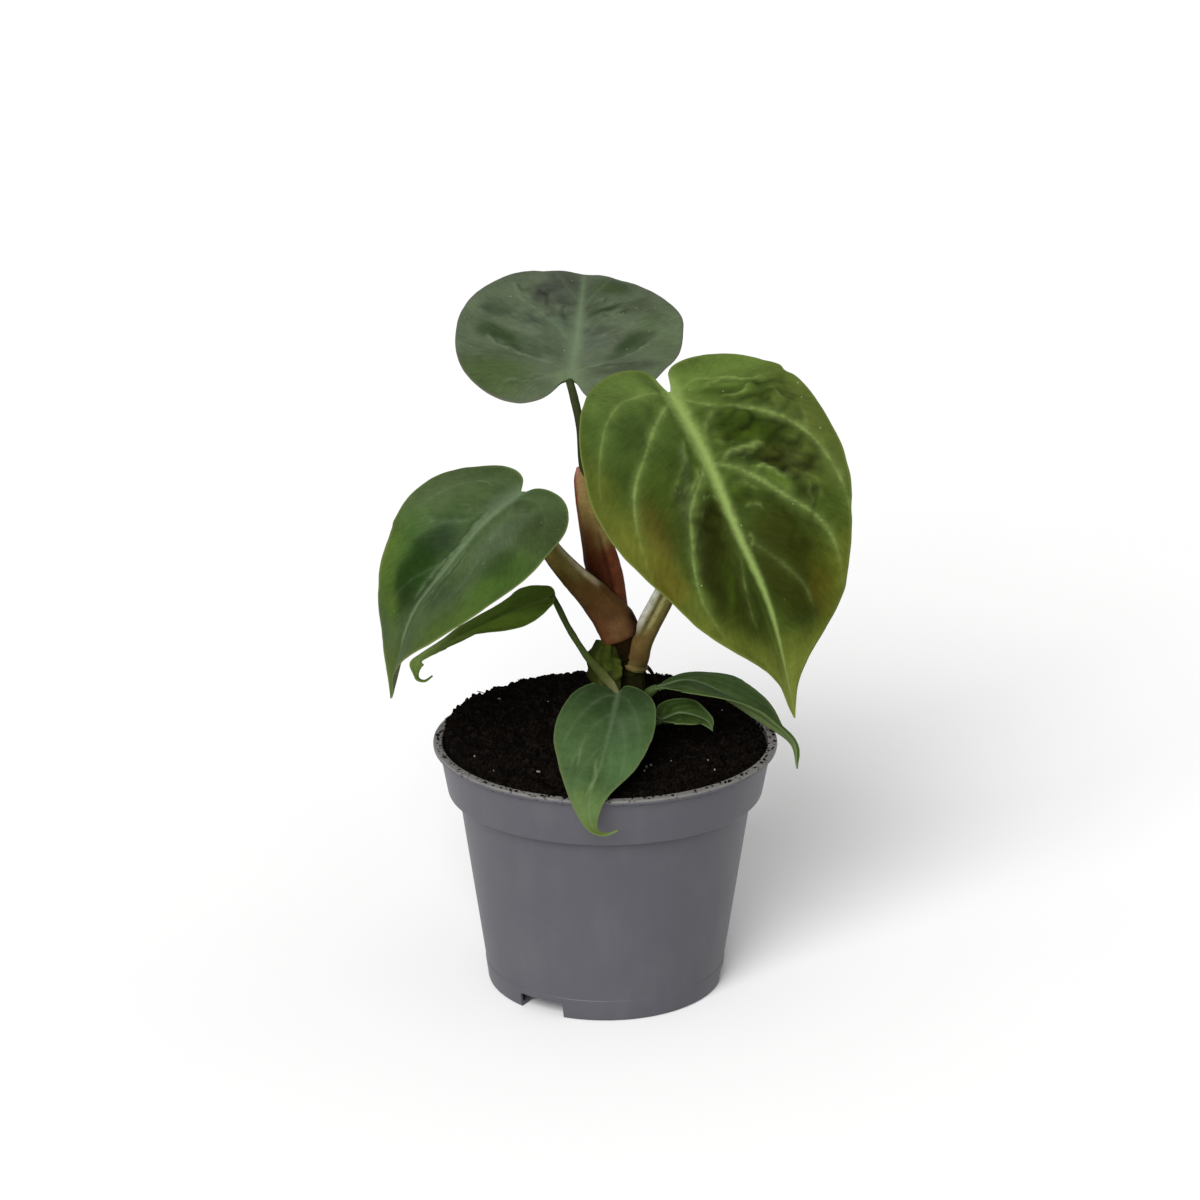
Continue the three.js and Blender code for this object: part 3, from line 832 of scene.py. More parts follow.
@dataclass(frozen=True)
class Blade:
    """A heart-shaped leaf blade, quilted between its sunken veins.

    Attributes:
        name: The blade's node.
        slot: Its material slot.
        finish: Its look.
        midrib: Points of the midrib, from the stalk to the tip.
        half_widths: Its widths on the right and on the left.
        outline: The shape of its edge.
        roll: How the upper face turns about the midrib at its base, middle and tip, in degrees.
        fold: How steeply the halves rise at its base and tip, in degrees.
        veins: The side veins of its right and left halves.
        lift: How far the lobes bend up behind the stalk.
        waves: How many waves its edge has.
        pucker: How far it bulges between its veins.
        wave: How far its edge waves.
        ripple: How uneven its edge is.
        rib: The half width of the midrib's pale band at its foot.
        rib_light: How clear that band is at its foot and at the tip.
        tints_and_painted_light: Patches of other colours: in part the lamina's own colour, in part painted
            sheen, painted light and painted shade.
        creases: Crumpled patches, whose shares are heights and also set the painted shade in the crumples'
            hollows and the painted light on their puffs.
        folds: Fine ridges and creases, with painted highlights and painted shade along them.
        dents: Dents and bumps of the edge.
        grid: Rows along each edge, and columns across each half.
    """

    name: str
    slot: Slot
    finish: LeafFinish
    midrib: tuple[Point, ...]
    half_widths: tuple[float, float]
    outline: Outline
    roll: tuple[float, float, float]
    fold: tuple[float, float]
    veins: tuple[tuple[Vein, ...], tuple[Vein, ...]]
    lift: float = 0.0
    waves: int = 4
    pucker: float = 0.4
    wave: float = 0.4
    ripple: float = 0.3
    rib: float = 1.6
    rib_light: tuple[float, float] = (1.0, 0.75)
    tints_and_painted_light: tuple[Zone, ...] = ()
    creases: tuple[Zone, ...] = ()
    folds: tuple[Fold, ...] = ()
    dents: tuple[Dent, ...] = ()
    grid: tuple[int, int] = (110, 30)

    THICKNESS = 0.7
    KEEL = 1.0
    GROOVE = 0.4
    RIB_REACH = 2.5
    OFF_RIB = 0.8
    QUIET = 0.12
    VEIN_VALLEY = 0.11
    CORE_SINK = 0.22
    CORE_KEEL = 0.35
    LOBE_SHARE = 0.42
    LOBE_STEM = 0.05
    LAST_ROW = 0.9995
    VEIN_STEPS = 160
    VEIN_SWEEP = 1.6
    RIM_SHARE = 0.5
    BULGE = 0.16

    def half_width(self, half: Half) -> float:
        """The width of a half."""
        return self.half_widths[0 if half is Half.RIGHT else 1]

    def edge(self, q: Array, width: float, length: float) -> Array:
        """The edge of a half: along the midrib and out from it.

        Args:
            q: Shares of the edge, from the lobe's corner to the tip.
            width: The half's width.
            length: The midrib's length.

        Returns:
            Points of the edge.
        """
        o = self.outline
        wide = o.widest * length
        gap = o.open * length
        back = -o.back * length
        lobe = ((-o.corner * length, gap), (back, gap + 0.05 * width), (back, width), (wide, width))
        front = length - o.drip * (length - wide)
        shoulder = wide + o.shoulder * (length - wide)
        body = ((wide, width), (shoulder, width), (front, 0.06 * width), (length, 0.0))
        on_lobe = cubic(lobe, np.clip(q / self.LOBE_SHARE, 0, 1))
        on_body = cubic(body, np.clip((q - self.LOBE_SHARE) / (1 - self.LOBE_SHARE), 0, 1))
        return np.where((q < self.LOBE_SHARE)[..., None], on_lobe, on_body)

    def row(self, q: Array, t: Array, width: float, length: float) -> Array:
        """Points in the plane of a half, on rows that sweep from the midrib to the edge.

        Args:
            q: Shares of the edge where the rows end.
            t: Shares of the rows.
            width: The half's width.
            length: The midrib's length.

        Returns:
            The points.
        """
        edge = self.edge(q, width, length)
        root = self.LOBE_STEM * length
        slant = (self.outline.widest * length - root) / width
        sweep = slant * edge[..., 1] * (1 + self.VEIN_SWEEP * (1 - edge[..., 1] / width))
        leave = np.where(q < self.LOBE_SHARE, root * q / self.LOBE_SHARE, edge[..., 0] - sweep)
        start = np.stack([leave, 0 * leave], -1)
        bend = start + (edge - start) * np.array([0.3, 0.62])
        s = (1 - t)[..., None]
        t = t[..., None]
        return start * s * s + 2 * bend * s * t + edge * t * t

    def plan(self, half: Half, length: float) -> Plan:
        """Lays a half flat, with its dents and its uneven edge.

        Args:
            half: Which half it is.
            length: The midrib's length.

        Returns:
            The half's points.
        """
        rows, columns = self.grid
        width = self.half_width(half)
        q, t = np.meshgrid(np.linspace(0, 1, rows + 1), np.linspace(0, 1, columns + 1), indexing="ij")
        q = np.minimum(q, self.LAST_ROW)
        u, v = np.moveaxis(self.row(q, t, width, length), -1, 0)
        plan = Plan(half, length, width, q, t, u, v, self.edge(q, width, length)[..., 1])
        around = np.stack([60 * q, 9.0 * half.value + 0 * q, 0 * q], -1)
        uneven = self.ripple * (ruffle(around, 5.0, 0.7) + 0.5 * ruffle(around, 1.7, 2.9)) * plan.slim
        dents = (dent.depth * bell(q - dent.at, dent.reach) for dent in self.dents if dent.half is half)
        moved = np.maximum((uneven - sum(dents, 0 * q)) * t**4, -0.7 * plan.edge * t**4)
        return replace(plan, v=plan.v + moved)

    def bent(self, plan: Plan, line: CentreLine) -> tuple[Array, Array]:
        """Bends a flat half along its midrib.

        Args:
            plan: The flat half.
            line: The midrib.

        Returns:
            Places and normals in space.
        """
        share = np.clip(plan.u / plan.length, 0, 1)
        centre, along = line.by_length(share)
        centre = centre + along * (plan.u - share * plan.length)[..., None]
        level = unit(UP - along * (along @ UP)[..., None])
        first, middle, last = self.roll
        turn = first * (1 - share) * (1 - 2 * share) + 4 * middle * share * (1 - share)
        turn = np.radians(turn + last * share * (2 * share - 1))[..., None]
        face = level * np.cos(turn) + np.cross(along, level) * np.sin(turn)
        right = np.cross(along, face) * plan.half.value
        angle = np.radians(self.fold[0] + (self.fold[1] - self.fold[0]) * share)[..., None]
        out = plan.v[..., None]
        raised_lobe = self.lift * np.maximum(0, -plan.u) ** 2 / (0.15 * plan.length)
        rise = out * np.sin(angle) + raised_lobe[..., None]
        place = centre + right * out * np.cos(angle) + face * rise
        return place, face * np.cos(angle) - right * np.sin(angle)

    def veined(self, plan: Plan) -> tuple[Array, Array, Array]:
        """How the veins show on a flat half.

        Args:
            plan: The flat half.

        Returns:
            The veins' pale glow, their cores, and the distance to the nearest main vein.
        """
        u, v, length = plan.u, plan.v, plan.length
        share = np.clip(u / length, 0, 1)
        size = math.sqrt(length / 110)
        shaky = size * (0.35 * ruffle(plan.flat, 5.0, 8.1) + 0.3 * ruffle(plan.flat, 1.6, 3.3))
        light = self.rib_light[0] + (self.rib_light[1] - self.rib_light[0]) * share
        rib = self.rib * (1 - 0.95 * share**0.55) + 0.12
        glow = np.exp(-((np.maximum(v + 0.6 * shaky, 0) / rib) ** 2.5)) * light
        core = bell(v, size * (1.0 - 0.75 * share)) * (1 - soft(share, 0.92, 1.0)) * light
        nearest = v.copy()
        uneven = 0.85 + 0.6 * ruffle(plan.flat, 7.0, 5.5)
        for vein in self.veins[0 if plan.half is Half.RIGHT else 1]:
            line = CentreLine(tuple((a * length, b * plan.width, 0.0) for a, b in vein.points))
            path, _ = line.by_length(np.linspace(0, 1, self.VEIN_STEPS))
            gaps = np.hypot(u[..., None] - path[:, 0], v[..., None] - path[:, 1])
            s = gaps.argmin(-1) / (self.VEIN_STEPS - 1)
            gap = np.abs(gaps.min(-1) + shaky)
            fade = vein.strength * (1 - 0.9 * soft(s, 0.6, 1.0)) * uneven
            glow = np.maximum(glow, np.exp(-gap / (size * (1.35 - 0.6 * s))) * fade * 0.6)
            core = np.maximum(core, bell(gap, size * (0.42 - 0.15 * s)) * fade * 0.5)
            nearest = np.minimum(nearest, gap + 9 * (1 - fade))
        return glow, core, nearest

    def crumpled(self, plan: Plan) -> tuple[Array, Array]:
        """How crumpled a flat half is.

        Args:
            plan: The flat half.

        Returns:
            The strength of the crumpling, and the height of its puffs.
        """
        flat = plan.flat
        adrift = flat + 2.5 * np.stack([ruffle(flat, 8.0, 6.3), ruffle(flat, 8.0, 7.7), 0 * plan.u], -1)
        puffs = np.abs(ruffle(adrift * [1.25, 1.0, 1.0], 7.5, 3.1)) * 2
        puffs = puffs + 0.5 * np.abs(ruffle(adrift, 3.2, 9.4)) - 0.5
        along, across = plan.shares()
        return sum((zone.over(along, across) for zone in self.creases), 0 * plan.u), puffs

    def folded(self, plan: Plan) -> tuple[Array, Array, Array]:
        """What the folds do on a flat half.

        Args:
            plan: The flat half.

        Returns:
            How far they raise it, how much painted highlight their crests get and how much painted shade they
            put beside them and in their creases.
        """
        flat = plan.flat
        frayed = flat + 0.9 * np.stack([ruffle(flat, 3.0, 4.6), ruffle(flat, 3.0, 7.1), 0 * plan.u], -1)
        raised, pale, shaded = 0 * plan.u, 0 * plan.u, 0 * plan.u
        for fold in self.folds:
            height, ridge, lee = fold.over(frayed, plan.length, self.half_widths)
            raised = raised + height
            # Painted highlight on pale crests, and painted shade in dark creases and on the lee sides.
            pale = np.maximum(pale, ridge * max(fold.light, 0))
            shade = np.maximum(ridge * max(-fold.light, 0), 0.75 * lee * abs(fold.light))
            shaded = np.maximum(shaded, shade)
        return raised, pale, shaded

    def toned(self, plan: Plan, dark: Array, pale: Array, shaded: Array) -> Array:
        """The lamina's colours on a flat half, with painted light and painted shade in them.

        Args:
            plan: The flat half.
            dark: How much painted shade the hollows of its crumples get, and below 0 how much painted light
                their puffs get.
            pale: How much painted highlight the crests of its folds get.
            shaded: How much painted shade its folds put in their creases and beside them.

        Returns:
            The colours.
        """
        along, across = plan.shares()
        tone = np.broadcast_to(np.array(self.finish.lamina), (*plan.u.shape, 3))
        # Zones of the lamina's own colour, and zones of painted sheen, painted light and painted shade.
        for zone in self.tints_and_painted_light:
            share = np.clip(zone.over(along, across), 0, 1)[..., None]
            tone = tone * (1 - share) + shares_of(zone.colour) * share
        # Painted shade in the crumpled hollows and beside the folds, and painted light on the puffs.
        tone = tone * ((1 - 0.95 * dark) * (1 - 0.75 * shaded))[..., None]
        # The painted highlight on the fold crests, in the vein colour.
        pale = (0.75 * pale * (0.8 + 0.8 * ruffle(plan.flat, 2.2, 3.9)))[..., None]
        return tone * (1 - pale) + np.array(self.finish.vein) * pale

    def half_sheet(self, half: Half) -> dict[str, Array]:
        """The upper face of a half, as rows and columns of points.

        Args:
            half: Which half it is.

        Returns:
            Places, normals and marks on the grid.
        """
        line = CentreLine(self.midrib)
        plan = self.plan(half, line.length)
        place, normal = self.bent(plan, line)
        glow, core, nearest = self.veined(plan)
        crumple, puffs = self.crumpled(plan)
        raised, pale, shaded = self.folded(plan)
        fade = np.clip(plan.v / (self.QUIET * plan.width), 0, 1)
        near_rib = 1 - np.clip(plan.v / self.RIB_REACH, 0, 1)
        vein_core = core * (plan.v > self.OFF_RIB)
        quilt = self.pucker * (1 - bell(nearest, self.VEIN_VALLEY * plan.width))
        quilt = quilt * np.sin(np.pi * np.minimum(1, 0.1 + plan.t)) * fade
        start = 0.6 if half is Half.RIGHT else 2.2
        waving = self.wave * np.sin(TURN * self.waves / 2 * plan.q + start) * plan.t**3
        rough = (crumple * puffs + 0.12 * ruffle(plan.flat, 3.5, 5.2)) * fade
        bulk = (quilt + waving - self.GROOVE * near_rib + rough + raised) * plan.slim
        bulk = bulk - self.CORE_SINK * vein_core * plan.slim
        # Painted light and shade of the crumples: dark in the hollows between the puffs, lighter on the
        # puffs.
        dark = np.clip(crumple, 0, 1) * np.clip(0.25 - puffs, -0.35, 0.6)
        return {
            "place": place + normal * bulk[..., None],
            "normal": normal,
            "keel": self.KEEL * near_rib * plan.slim + self.CORE_KEEL * vein_core,
            "rim": bell((1 - plan.t) * plan.edge, 0.55) * soft(plan.t, 0.8, 1.0),
            "thin": soft(plan.t, 0.86, 1.0),
            "glow": glow,
            "core": core,
            "tone": self.toned(plan, dark, pale, shaded),
            "q": plan.q,
            "t": half.value * plan.t,
        }

    def mesh(self) -> bpy.types.Mesh:
        """Makes the blade closed: both faces, and a rounded rim between them.

        Returns:
            The mesh.
        """
        rows, columns = self.grid
        right = self.half_sheet(Half.RIGHT)
        left = self.half_sheet(Half.LEFT)
        sheet = {k: np.concatenate([left[k][:, :0:-1], right[k]], axis=1) for k in right}
        wide = 2 * columns + 1
        upper = sheet["place"].reshape(-1, 3)
        normal = sheet["normal"].reshape(-1, 3)
        thick = self.THICKNESS * (1 - self.RIM_SHARE * sheet["thin"]) + sheet["keel"]
        lower = upper - normal * thick.reshape(-1, 1)
        count = len(upper)
        number = np.arange(count).reshape(rows + 1, wide)
        a, b, c, d = (number[:-1, :-1], number[:-1, 1:], number[1:, 1:], number[1:, :-1])
        top = np.stack([a, b, c, d], -1).reshape(-1, 4)
        bottom = top[:, ::-1] + count
        ring = np.concatenate([number[0], number[1:, -1], number[-1, -2::-1], number[-2:0:-1, 0]])
        following = np.roll(ring, -1)
        middle = (upper[ring] + lower[ring]) / 2
        pull = np.zeros_like(middle)
        pull[wide : wide + rows] = unit(sheet["place"][1:, -1] - sheet["place"][1:, -2])
        pull[1 - rows :] = unit(sheet["place"][-2:0:-1, 0] - sheet["place"][-2:0:-1, 1])
        middle = middle + self.BULGE * pull
        rim = 2 * count + np.arange(len(ring))
        rim_next = np.roll(rim, -1)
        outer = np.stack([following, ring, rim, rim_next], -1)
        under = np.stack([rim_next, rim, ring + count, following + count], -1)
        points = np.vstack([upper, lower, middle])
        marks = {}
        for key in ("glow", "core", "rim", "tone"):
            flat = sheet[key].reshape(count, -1).squeeze()
            marks[key] = np.concatenate([flat, flat, flat[ring]])
        marks["under"] = np.concatenate([np.zeros(count), np.ones(count), np.full(len(ring), 0.5)])
        grid = np.stack([sheet["q"].ravel(), sheet["t"].ravel()], -1)
        grid = np.vstack([grid, grid, grid[ring]])
        faces = np.vstack([top, bottom, outer, under])
        return mesh_of(self.name, points, faces, self.finish.material(), marks, ("blade", grid))

    def build(self) -> None:
        """Builds and dresses the blade."""
        piece = link(f"{self.name}_blade", self.mesh())
        tidy_mesh(piece.data)
        seat(piece, self.slot, self.name)


def tidy_mesh(mesh: bpy.types.Mesh, merge: float = 0.004 * MM) -> None:
    """Merges points that lie on each other and drops what has no area.

    Args:
        mesh: The mesh.
        merge: The distance within which points are one, in metres.
    """
    work = bmesh.new()
    work.from_mesh(mesh)
    bmesh.ops.remove_doubles(work, verts=work.verts[:], dist=merge)
    bmesh.ops.dissolve_degenerate(work, edges=work.edges[:], dist=merge)
    work.to_mesh(mesh)
    work.free()


@dataclass(frozen=True)
class Stroke:
    """A band of another colour that runs along a stalk, flat or as a ridge; at the left petiole's foot one
    band is painted shade and one a painted highlight.

    Attributes:
        turn: Its middle round the stalk, as a share of a turn: 0 is right, 0.5 left and 0.75 front.
        width: Its reach, as a share of a turn.
        start: The share of the stalk where it begins.
        end: The share where it ends.
        colour: Its colour, in thousandths.
        share: How clearly it shows.
        height: How far it stands out.
    """

    turn: float
    width: float
    start: float
    end: float
    colour: Colour
    share: float = 1.0
    height: float = 0.0


@dataclass(frozen=True)
class Stalk:
    """A stalk of oval section along its centre line.

    Attributes:
        name: The stalk's node.
        slot: Its material slot.
        finish: Its look.
        path: Points of its centre line.
        across: Half widths across the view, from its foot to its top.
        through: Half widths along the view.
        tones: Its colours from its foot to its top, evenly spaced, in thousandths; on the stem and the top
            sheath they are partly painted shade.
        strokes: Bands along it; on the left petiole's foot, one is painted shade and one a painted highlight.
        rings: Shares of its length where it has a ring scar.
        flutes: The depth of its fine furrows.
        lumps: How uneven it is.
        bulge: How far its rounded ends stand out.
        grid: Rings along it and points round it.
    """

    name: str
    slot: Slot
    finish: StalkFinish
    path: tuple[Point, ...]
    across: tuple[float, ...]
    through: tuple[float, ...]
    tones: tuple[Colour, ...]
    strokes: tuple[Stroke, ...] = ()
    rings: tuple[float, ...] = ()
    flutes: float = 0.06
    lumps: float = 0.12
    bulge: float = 0.35
    grid: tuple[int, int] = (120, 64)

    END_STEPS = 4
    END_TURN = 0.93
    FURROWS = 11
    SCAR_HEIGHT = 0.45
    GRID_WIDTH = 12

    def reach(self, stroke: Stroke, share: Array, turn: Array) -> Array:
        """Where a stroke lies, from 0 to 1.

        Args:
            stroke: The stroke.
            share: Shares of the stalk's length.
            turn: Places round it.

        Returns:
            The stroke's strength on the grid.
        """
        off = np.abs((turn - stroke.turn + 0.5) % 1 - 0.5)
        begun = soft(share, stroke.start - 0.04, stroke.start + 0.04)
        along = begun * (1 - soft(share, stroke.end - 0.08, stroke.end))
        return along[:, None] * bell(off**1.5, stroke.width**1.5)[None]

    def mesh(self) -> bpy.types.Mesh:
        """Makes the stalk with its strokes, scars and rounded ends.

        Returns:
            The closed mesh.
        """
        steps, sides = self.grid
        line = CentreLine(self.path)
        share = np.linspace(0, 1, steps + 1)
        centre, along = line.at(share)
        side = unit(np.cross(along, VIEWER))
        front = unit(np.cross(along, side))
        turn = np.arange(sides) / sides
        angle = turn * TURN
        size = np.linspace(0, 1, len(self.across))
        a = np.interp(share, size, self.across)[:, None]
        b = np.interp(share, size, self.through)[:, None]
        radial = side[:, None] * np.cos(angle)[:, None] + front[:, None] * np.sin(angle)[:, None]
        oval = side[:, None] * (a * np.cos(angle))[..., None]
        oval = oval + front[:, None] * (b * np.sin(angle))[..., None]
        middle = centre[:, None] + oval
        heights = np.linspace(0, 1, len(self.tones))
        tones = shares_of(self.tones)
        tone = np.stack([np.interp(share, heights, tones[:, i]) for i in range(3)], -1)
        tone = np.repeat(tone[:, None], sides, axis=1)
        ridge = np.zeros((steps + 1, sides))
        wing = np.zeros_like(ridge)
        uneven = ruffle(middle, 2.5, 4.1)
        # Bands of colour; at the left petiole's foot they also paint shade and a highlight.
        for stroke in self.strokes:
            shape = self.reach(stroke, share, turn)
            ridge += stroke.height * shape
            mixed = np.clip(stroke.share * shape * (1 + 0.5 * uneven), 0, 1)[..., None]
            tone = tone * (1 - mixed) + shares_of(stroke.colour) * mixed
            wing = np.maximum(wing, shape * (stroke.height > 0))
        scars = 0 * share
        for scar in self.rings:
            scars += bell(share - scar, 0.012) - 0.6 * bell(share - scar - 0.03, 0.015)
        furrows = self.flutes * np.sin(self.FURROWS * angle + 3 * np.sin(2 * angle)) * np.ones_like(ridge)
        lumps = self.lumps * (ruffle(middle, 5.0, 1.3) + 0.5 * ruffle(middle, 2.0, 2.6))
        relief = ridge + furrows + lumps + self.SCAR_HEIGHT * scars[:, None]
        points = middle + radial * relief[..., None]
        start = self.cap(points[0], centre[0], -along[0])
        end = self.cap(points[-1], centre[-1], along[-1])
        points = np.concatenate([start[::-1], points, end])
        tone = np.concatenate([tone[:1]] * self.END_STEPS + [tone] + [tone[-1:]] * self.END_STEPS)
        wing = np.pad(wing, ((self.END_STEPS, self.END_STEPS), (0, 0)), mode="edge")
        count = len(points) * sides
        ends = [list(range(sides))[::-1], list(range(count - sides, count))]
        faces = [*ring_faces(len(points), sides).tolist(), *ends]
        marks = {"tone": tone.reshape(-1, 3), "wing": wing.ravel()}
        girth = 0.5 - np.abs(turn - 0.5)
        far = np.linspace(0, line.length, points.shape[0])
        grid = np.stack([np.tile(girth * self.GRID_WIDTH, len(far)), np.repeat(far, sides)], -1)
        points = points.reshape(-1, 3)
        return mesh_of(self.name, points, faces, self.finish.material(), marks, ("stalk", grid))

    def cap(self, ring: Array, centre: Array, way: Array) -> Array:
        """Shrinking rings that round off an end.

        Args:
            ring: The end's ring of points.
            centre: Its centre.
            way: The direction out of the stalk.

        Returns:
            The rings, from the largest to the smallest.
        """
        rings = []
        for step in range(1, self.END_STEPS + 1):
            tilt = step / self.END_STEPS * math.pi / 2 * self.END_TURN
            rings.append(centre + (ring - centre) * math.cos(tilt) + way * self.bulge * math.sin(tilt))
        return np.array(rings)

    def build(self) -> None:
        """Builds and dresses the stalk."""
        piece = link(f"{self.name}_stalk", self.mesh())
        seat(piece, self.slot, self.name)


class ScatterTree(Bench):
    """A geometry tree that strews copies of a small shape over a mesh, with named inputs for its sizes."""

    def __init__(self, name: str) -> None:
        """Starts the tree with the inputs that every such tree has.

        Args:
            name: The tree's name.
        """
        super().__init__(bpy.data.node_groups.new(name, "GeometryNodeTree"))
        for way in ("INPUT", "OUTPUT"):
            self.tree.interface.new_socket("Geometry", in_out=way, socket_type="NodeSocketGeometry")
        self.entry = self.tree.nodes.new("NodeGroupInput")
        self.exit = self.tree.nodes.new("NodeGroupOutput")
        self.density = self.size("Density")
        self.seed = self.size("Seed", "Int")
        self.finish = self.size("Finish", "Material")

    def size(self, name: str, kind: str = "Float") -> bpy.types.NodeSocket:
        """Adds a named input to the tree, for use inside it."""
        self.tree.interface.new_socket(name, in_out="INPUT", socket_type=f"NodeSocket{kind}")
        return self.entry.outputs[name]

    def made(self, kind: str, settings: Settings | None = None, inputs: Inputs | None = None) -> Any:
        """The first output of a new node."""
        return self.node(kind, settings, inputs).outputs[0]

    def vector(self, operation: str, inputs: Inputs) -> Any:
        """A sum on vectors."""
        return self.made("ShaderNodeVectorMath", {"operation": operation}, inputs)

    def drawn(self, kind: str, inputs: Inputs) -> Any:
        """A node that draws a number or a vector for each copy."""
        return self.node("FunctionNodeRandomValue", {"data_type": kind}, {**inputs, "Seed": self.seed})

    def strewn(self, shape: Any, scale: Any, least: Point, most: Point) -> Any:
        """Copies of a shape on drawn points of the mesh.

        Args:
            shape: The shape.
            scale: The size of each copy.
            least: The least turn about each axis.
            most: The greatest turn about each axis.

        Returns:
            The copies, as instances.
        """
        carrier = {"Mesh": self.entry.outputs[0], "Density": self.density, "Seed": self.seed}
        points = self.made("GeometryNodeDistributePointsOnFaces", inputs=carrier)
        spin = self.drawn("FLOAT_VECTOR", {0: least, 1: most}).outputs[0]
        inputs = {"Points": points, "Instance": shape, "Rotation": spin, "Scale": scale}
        return self.made("GeometryNodeInstanceOnPoints", inputs=inputs)

    def real(self, geometry: Any) -> Any:
        """Geometry with its instances made real."""
        return self.made("GeometryNodeRealizeInstances", inputs={0: geometry})

    def end(self, geometry: Any) -> None:
        """Ends the tree in real geometry with its material."""
        inputs = {"Geometry": self.real(geometry), "Material": self.finish}
        self.feed(self.exit.inputs[0], self.made("GeometryNodeSetMaterial", inputs=inputs))

    def scatter(self, name: str, carrier: bpy.types.Mesh, sizes: dict[str, Any]) -> bpy.types.Mesh:
        """Runs the tree on a mesh.

        Args:
            name: The new mesh's name.
            carrier: The mesh that the copies lie on.
            sizes: Values of the tree's inputs, by name.

        Returns:
            The copies as a plain mesh.
        """
        host = link(f"{name}_host", carrier.copy())
        modifier = host.modifiers.new("grow", "NODES")
        modifier.node_group = self.tree
        for item in self.tree.interface.items_tree:
            if item.item_type == "SOCKET" and item.in_out == "INPUT" and item.name in sizes:
                modifier[item.identifier] = sizes[item.name]
        mesh = evaluated(host)
        mesh.name = name
        host.modifiers.remove(modifier)
        bpy.data.objects.remove(host)
        return mesh


class CrumbTree(ScatterTree):
    """Rough crumbs, each of its own shape."""

    CENTRE = (0.5, 0.5, 0.5)
    LAYERS = 2.0

    def __init__(self) -> None:
        """Builds the tree."""
        super().__init__("crumbs")
        small = self.size("Smallest", "Vector")
        large = self.size("Largest", "Vector")
        rough = self.size("Roughness")
        grain = self.size("Grain")
        detail = self.size("Detail", "Int")
        crumb = self.made("GeometryNodeMeshIcoSphere", inputs={"Radius": 1.0, "Subdivisions": detail})
        scale = self.drawn("FLOAT_VECTOR", {0: small, 1: large}).outputs[0]
        crumbs = self.real(self.strewn(crumb, scale, (0.0, 0.0, 0.0), (TURN, TURN, TURN)))
        lumps = self.node("ShaderNodeTexNoise", inputs={"Scale": grain, "Detail": self.LAYERS}).outputs[1]
        centred = self.vector("SUBTRACT", {0: lumps, 1: self.CENTRE})
        pushed = self.vector("SCALE", {0: centred, "Scale": rough})
        self.end(self.made("GeometryNodeSetPosition", inputs={"Geometry": crumbs, "Offset": pushed}))


class FibreTree(ScatterTree):
    """Thin bent fibres."""

    ENDS = {"Start": (-1.0, 0.0, 0.0), "Middle": (0.2, 0.7, 0.25), "End": (1.0, -0.3, 0.0)}
    BENDS = 6
    SIDES = 4
    TILT = 0.4
    SCALES = (0.4, 1.3)

    def __init__(self) -> None:
        """Builds the tree."""
        super().__init__("fibres")
        length = self.size("Length")
        thick = self.size("Thickness")
        half = self.made("ShaderNodeMath", {"operation": "MULTIPLY"}, {0: length, 1: 0.5})
        ends = {name: self.vector("SCALE", {0: way, "Scale": half}) for name, way in self.ENDS.items()}
        arc = self.made("GeometryNodeCurveQuadraticBezier", inputs={"Resolution": self.BENDS, **ends})
        circle = {"Resolution": self.SIDES, "Radius": thick}
        section = self.made("GeometryNodeCurvePrimitiveCircle", inputs=circle)
        swept = {"Curve": arc, "Profile Curve": section, "Fill Caps": True}
        fibre = self.made("GeometryNodeCurveToMesh", inputs=swept)
        scale = self.drawn("FLOAT", {2: self.SCALES[0], 3: self.SCALES[1]}).outputs[1]
        self.end(self.strewn(fibre, scale, (-self.TILT, -self.TILT, 0.0), (self.TILT, self.TILT, TURN)))


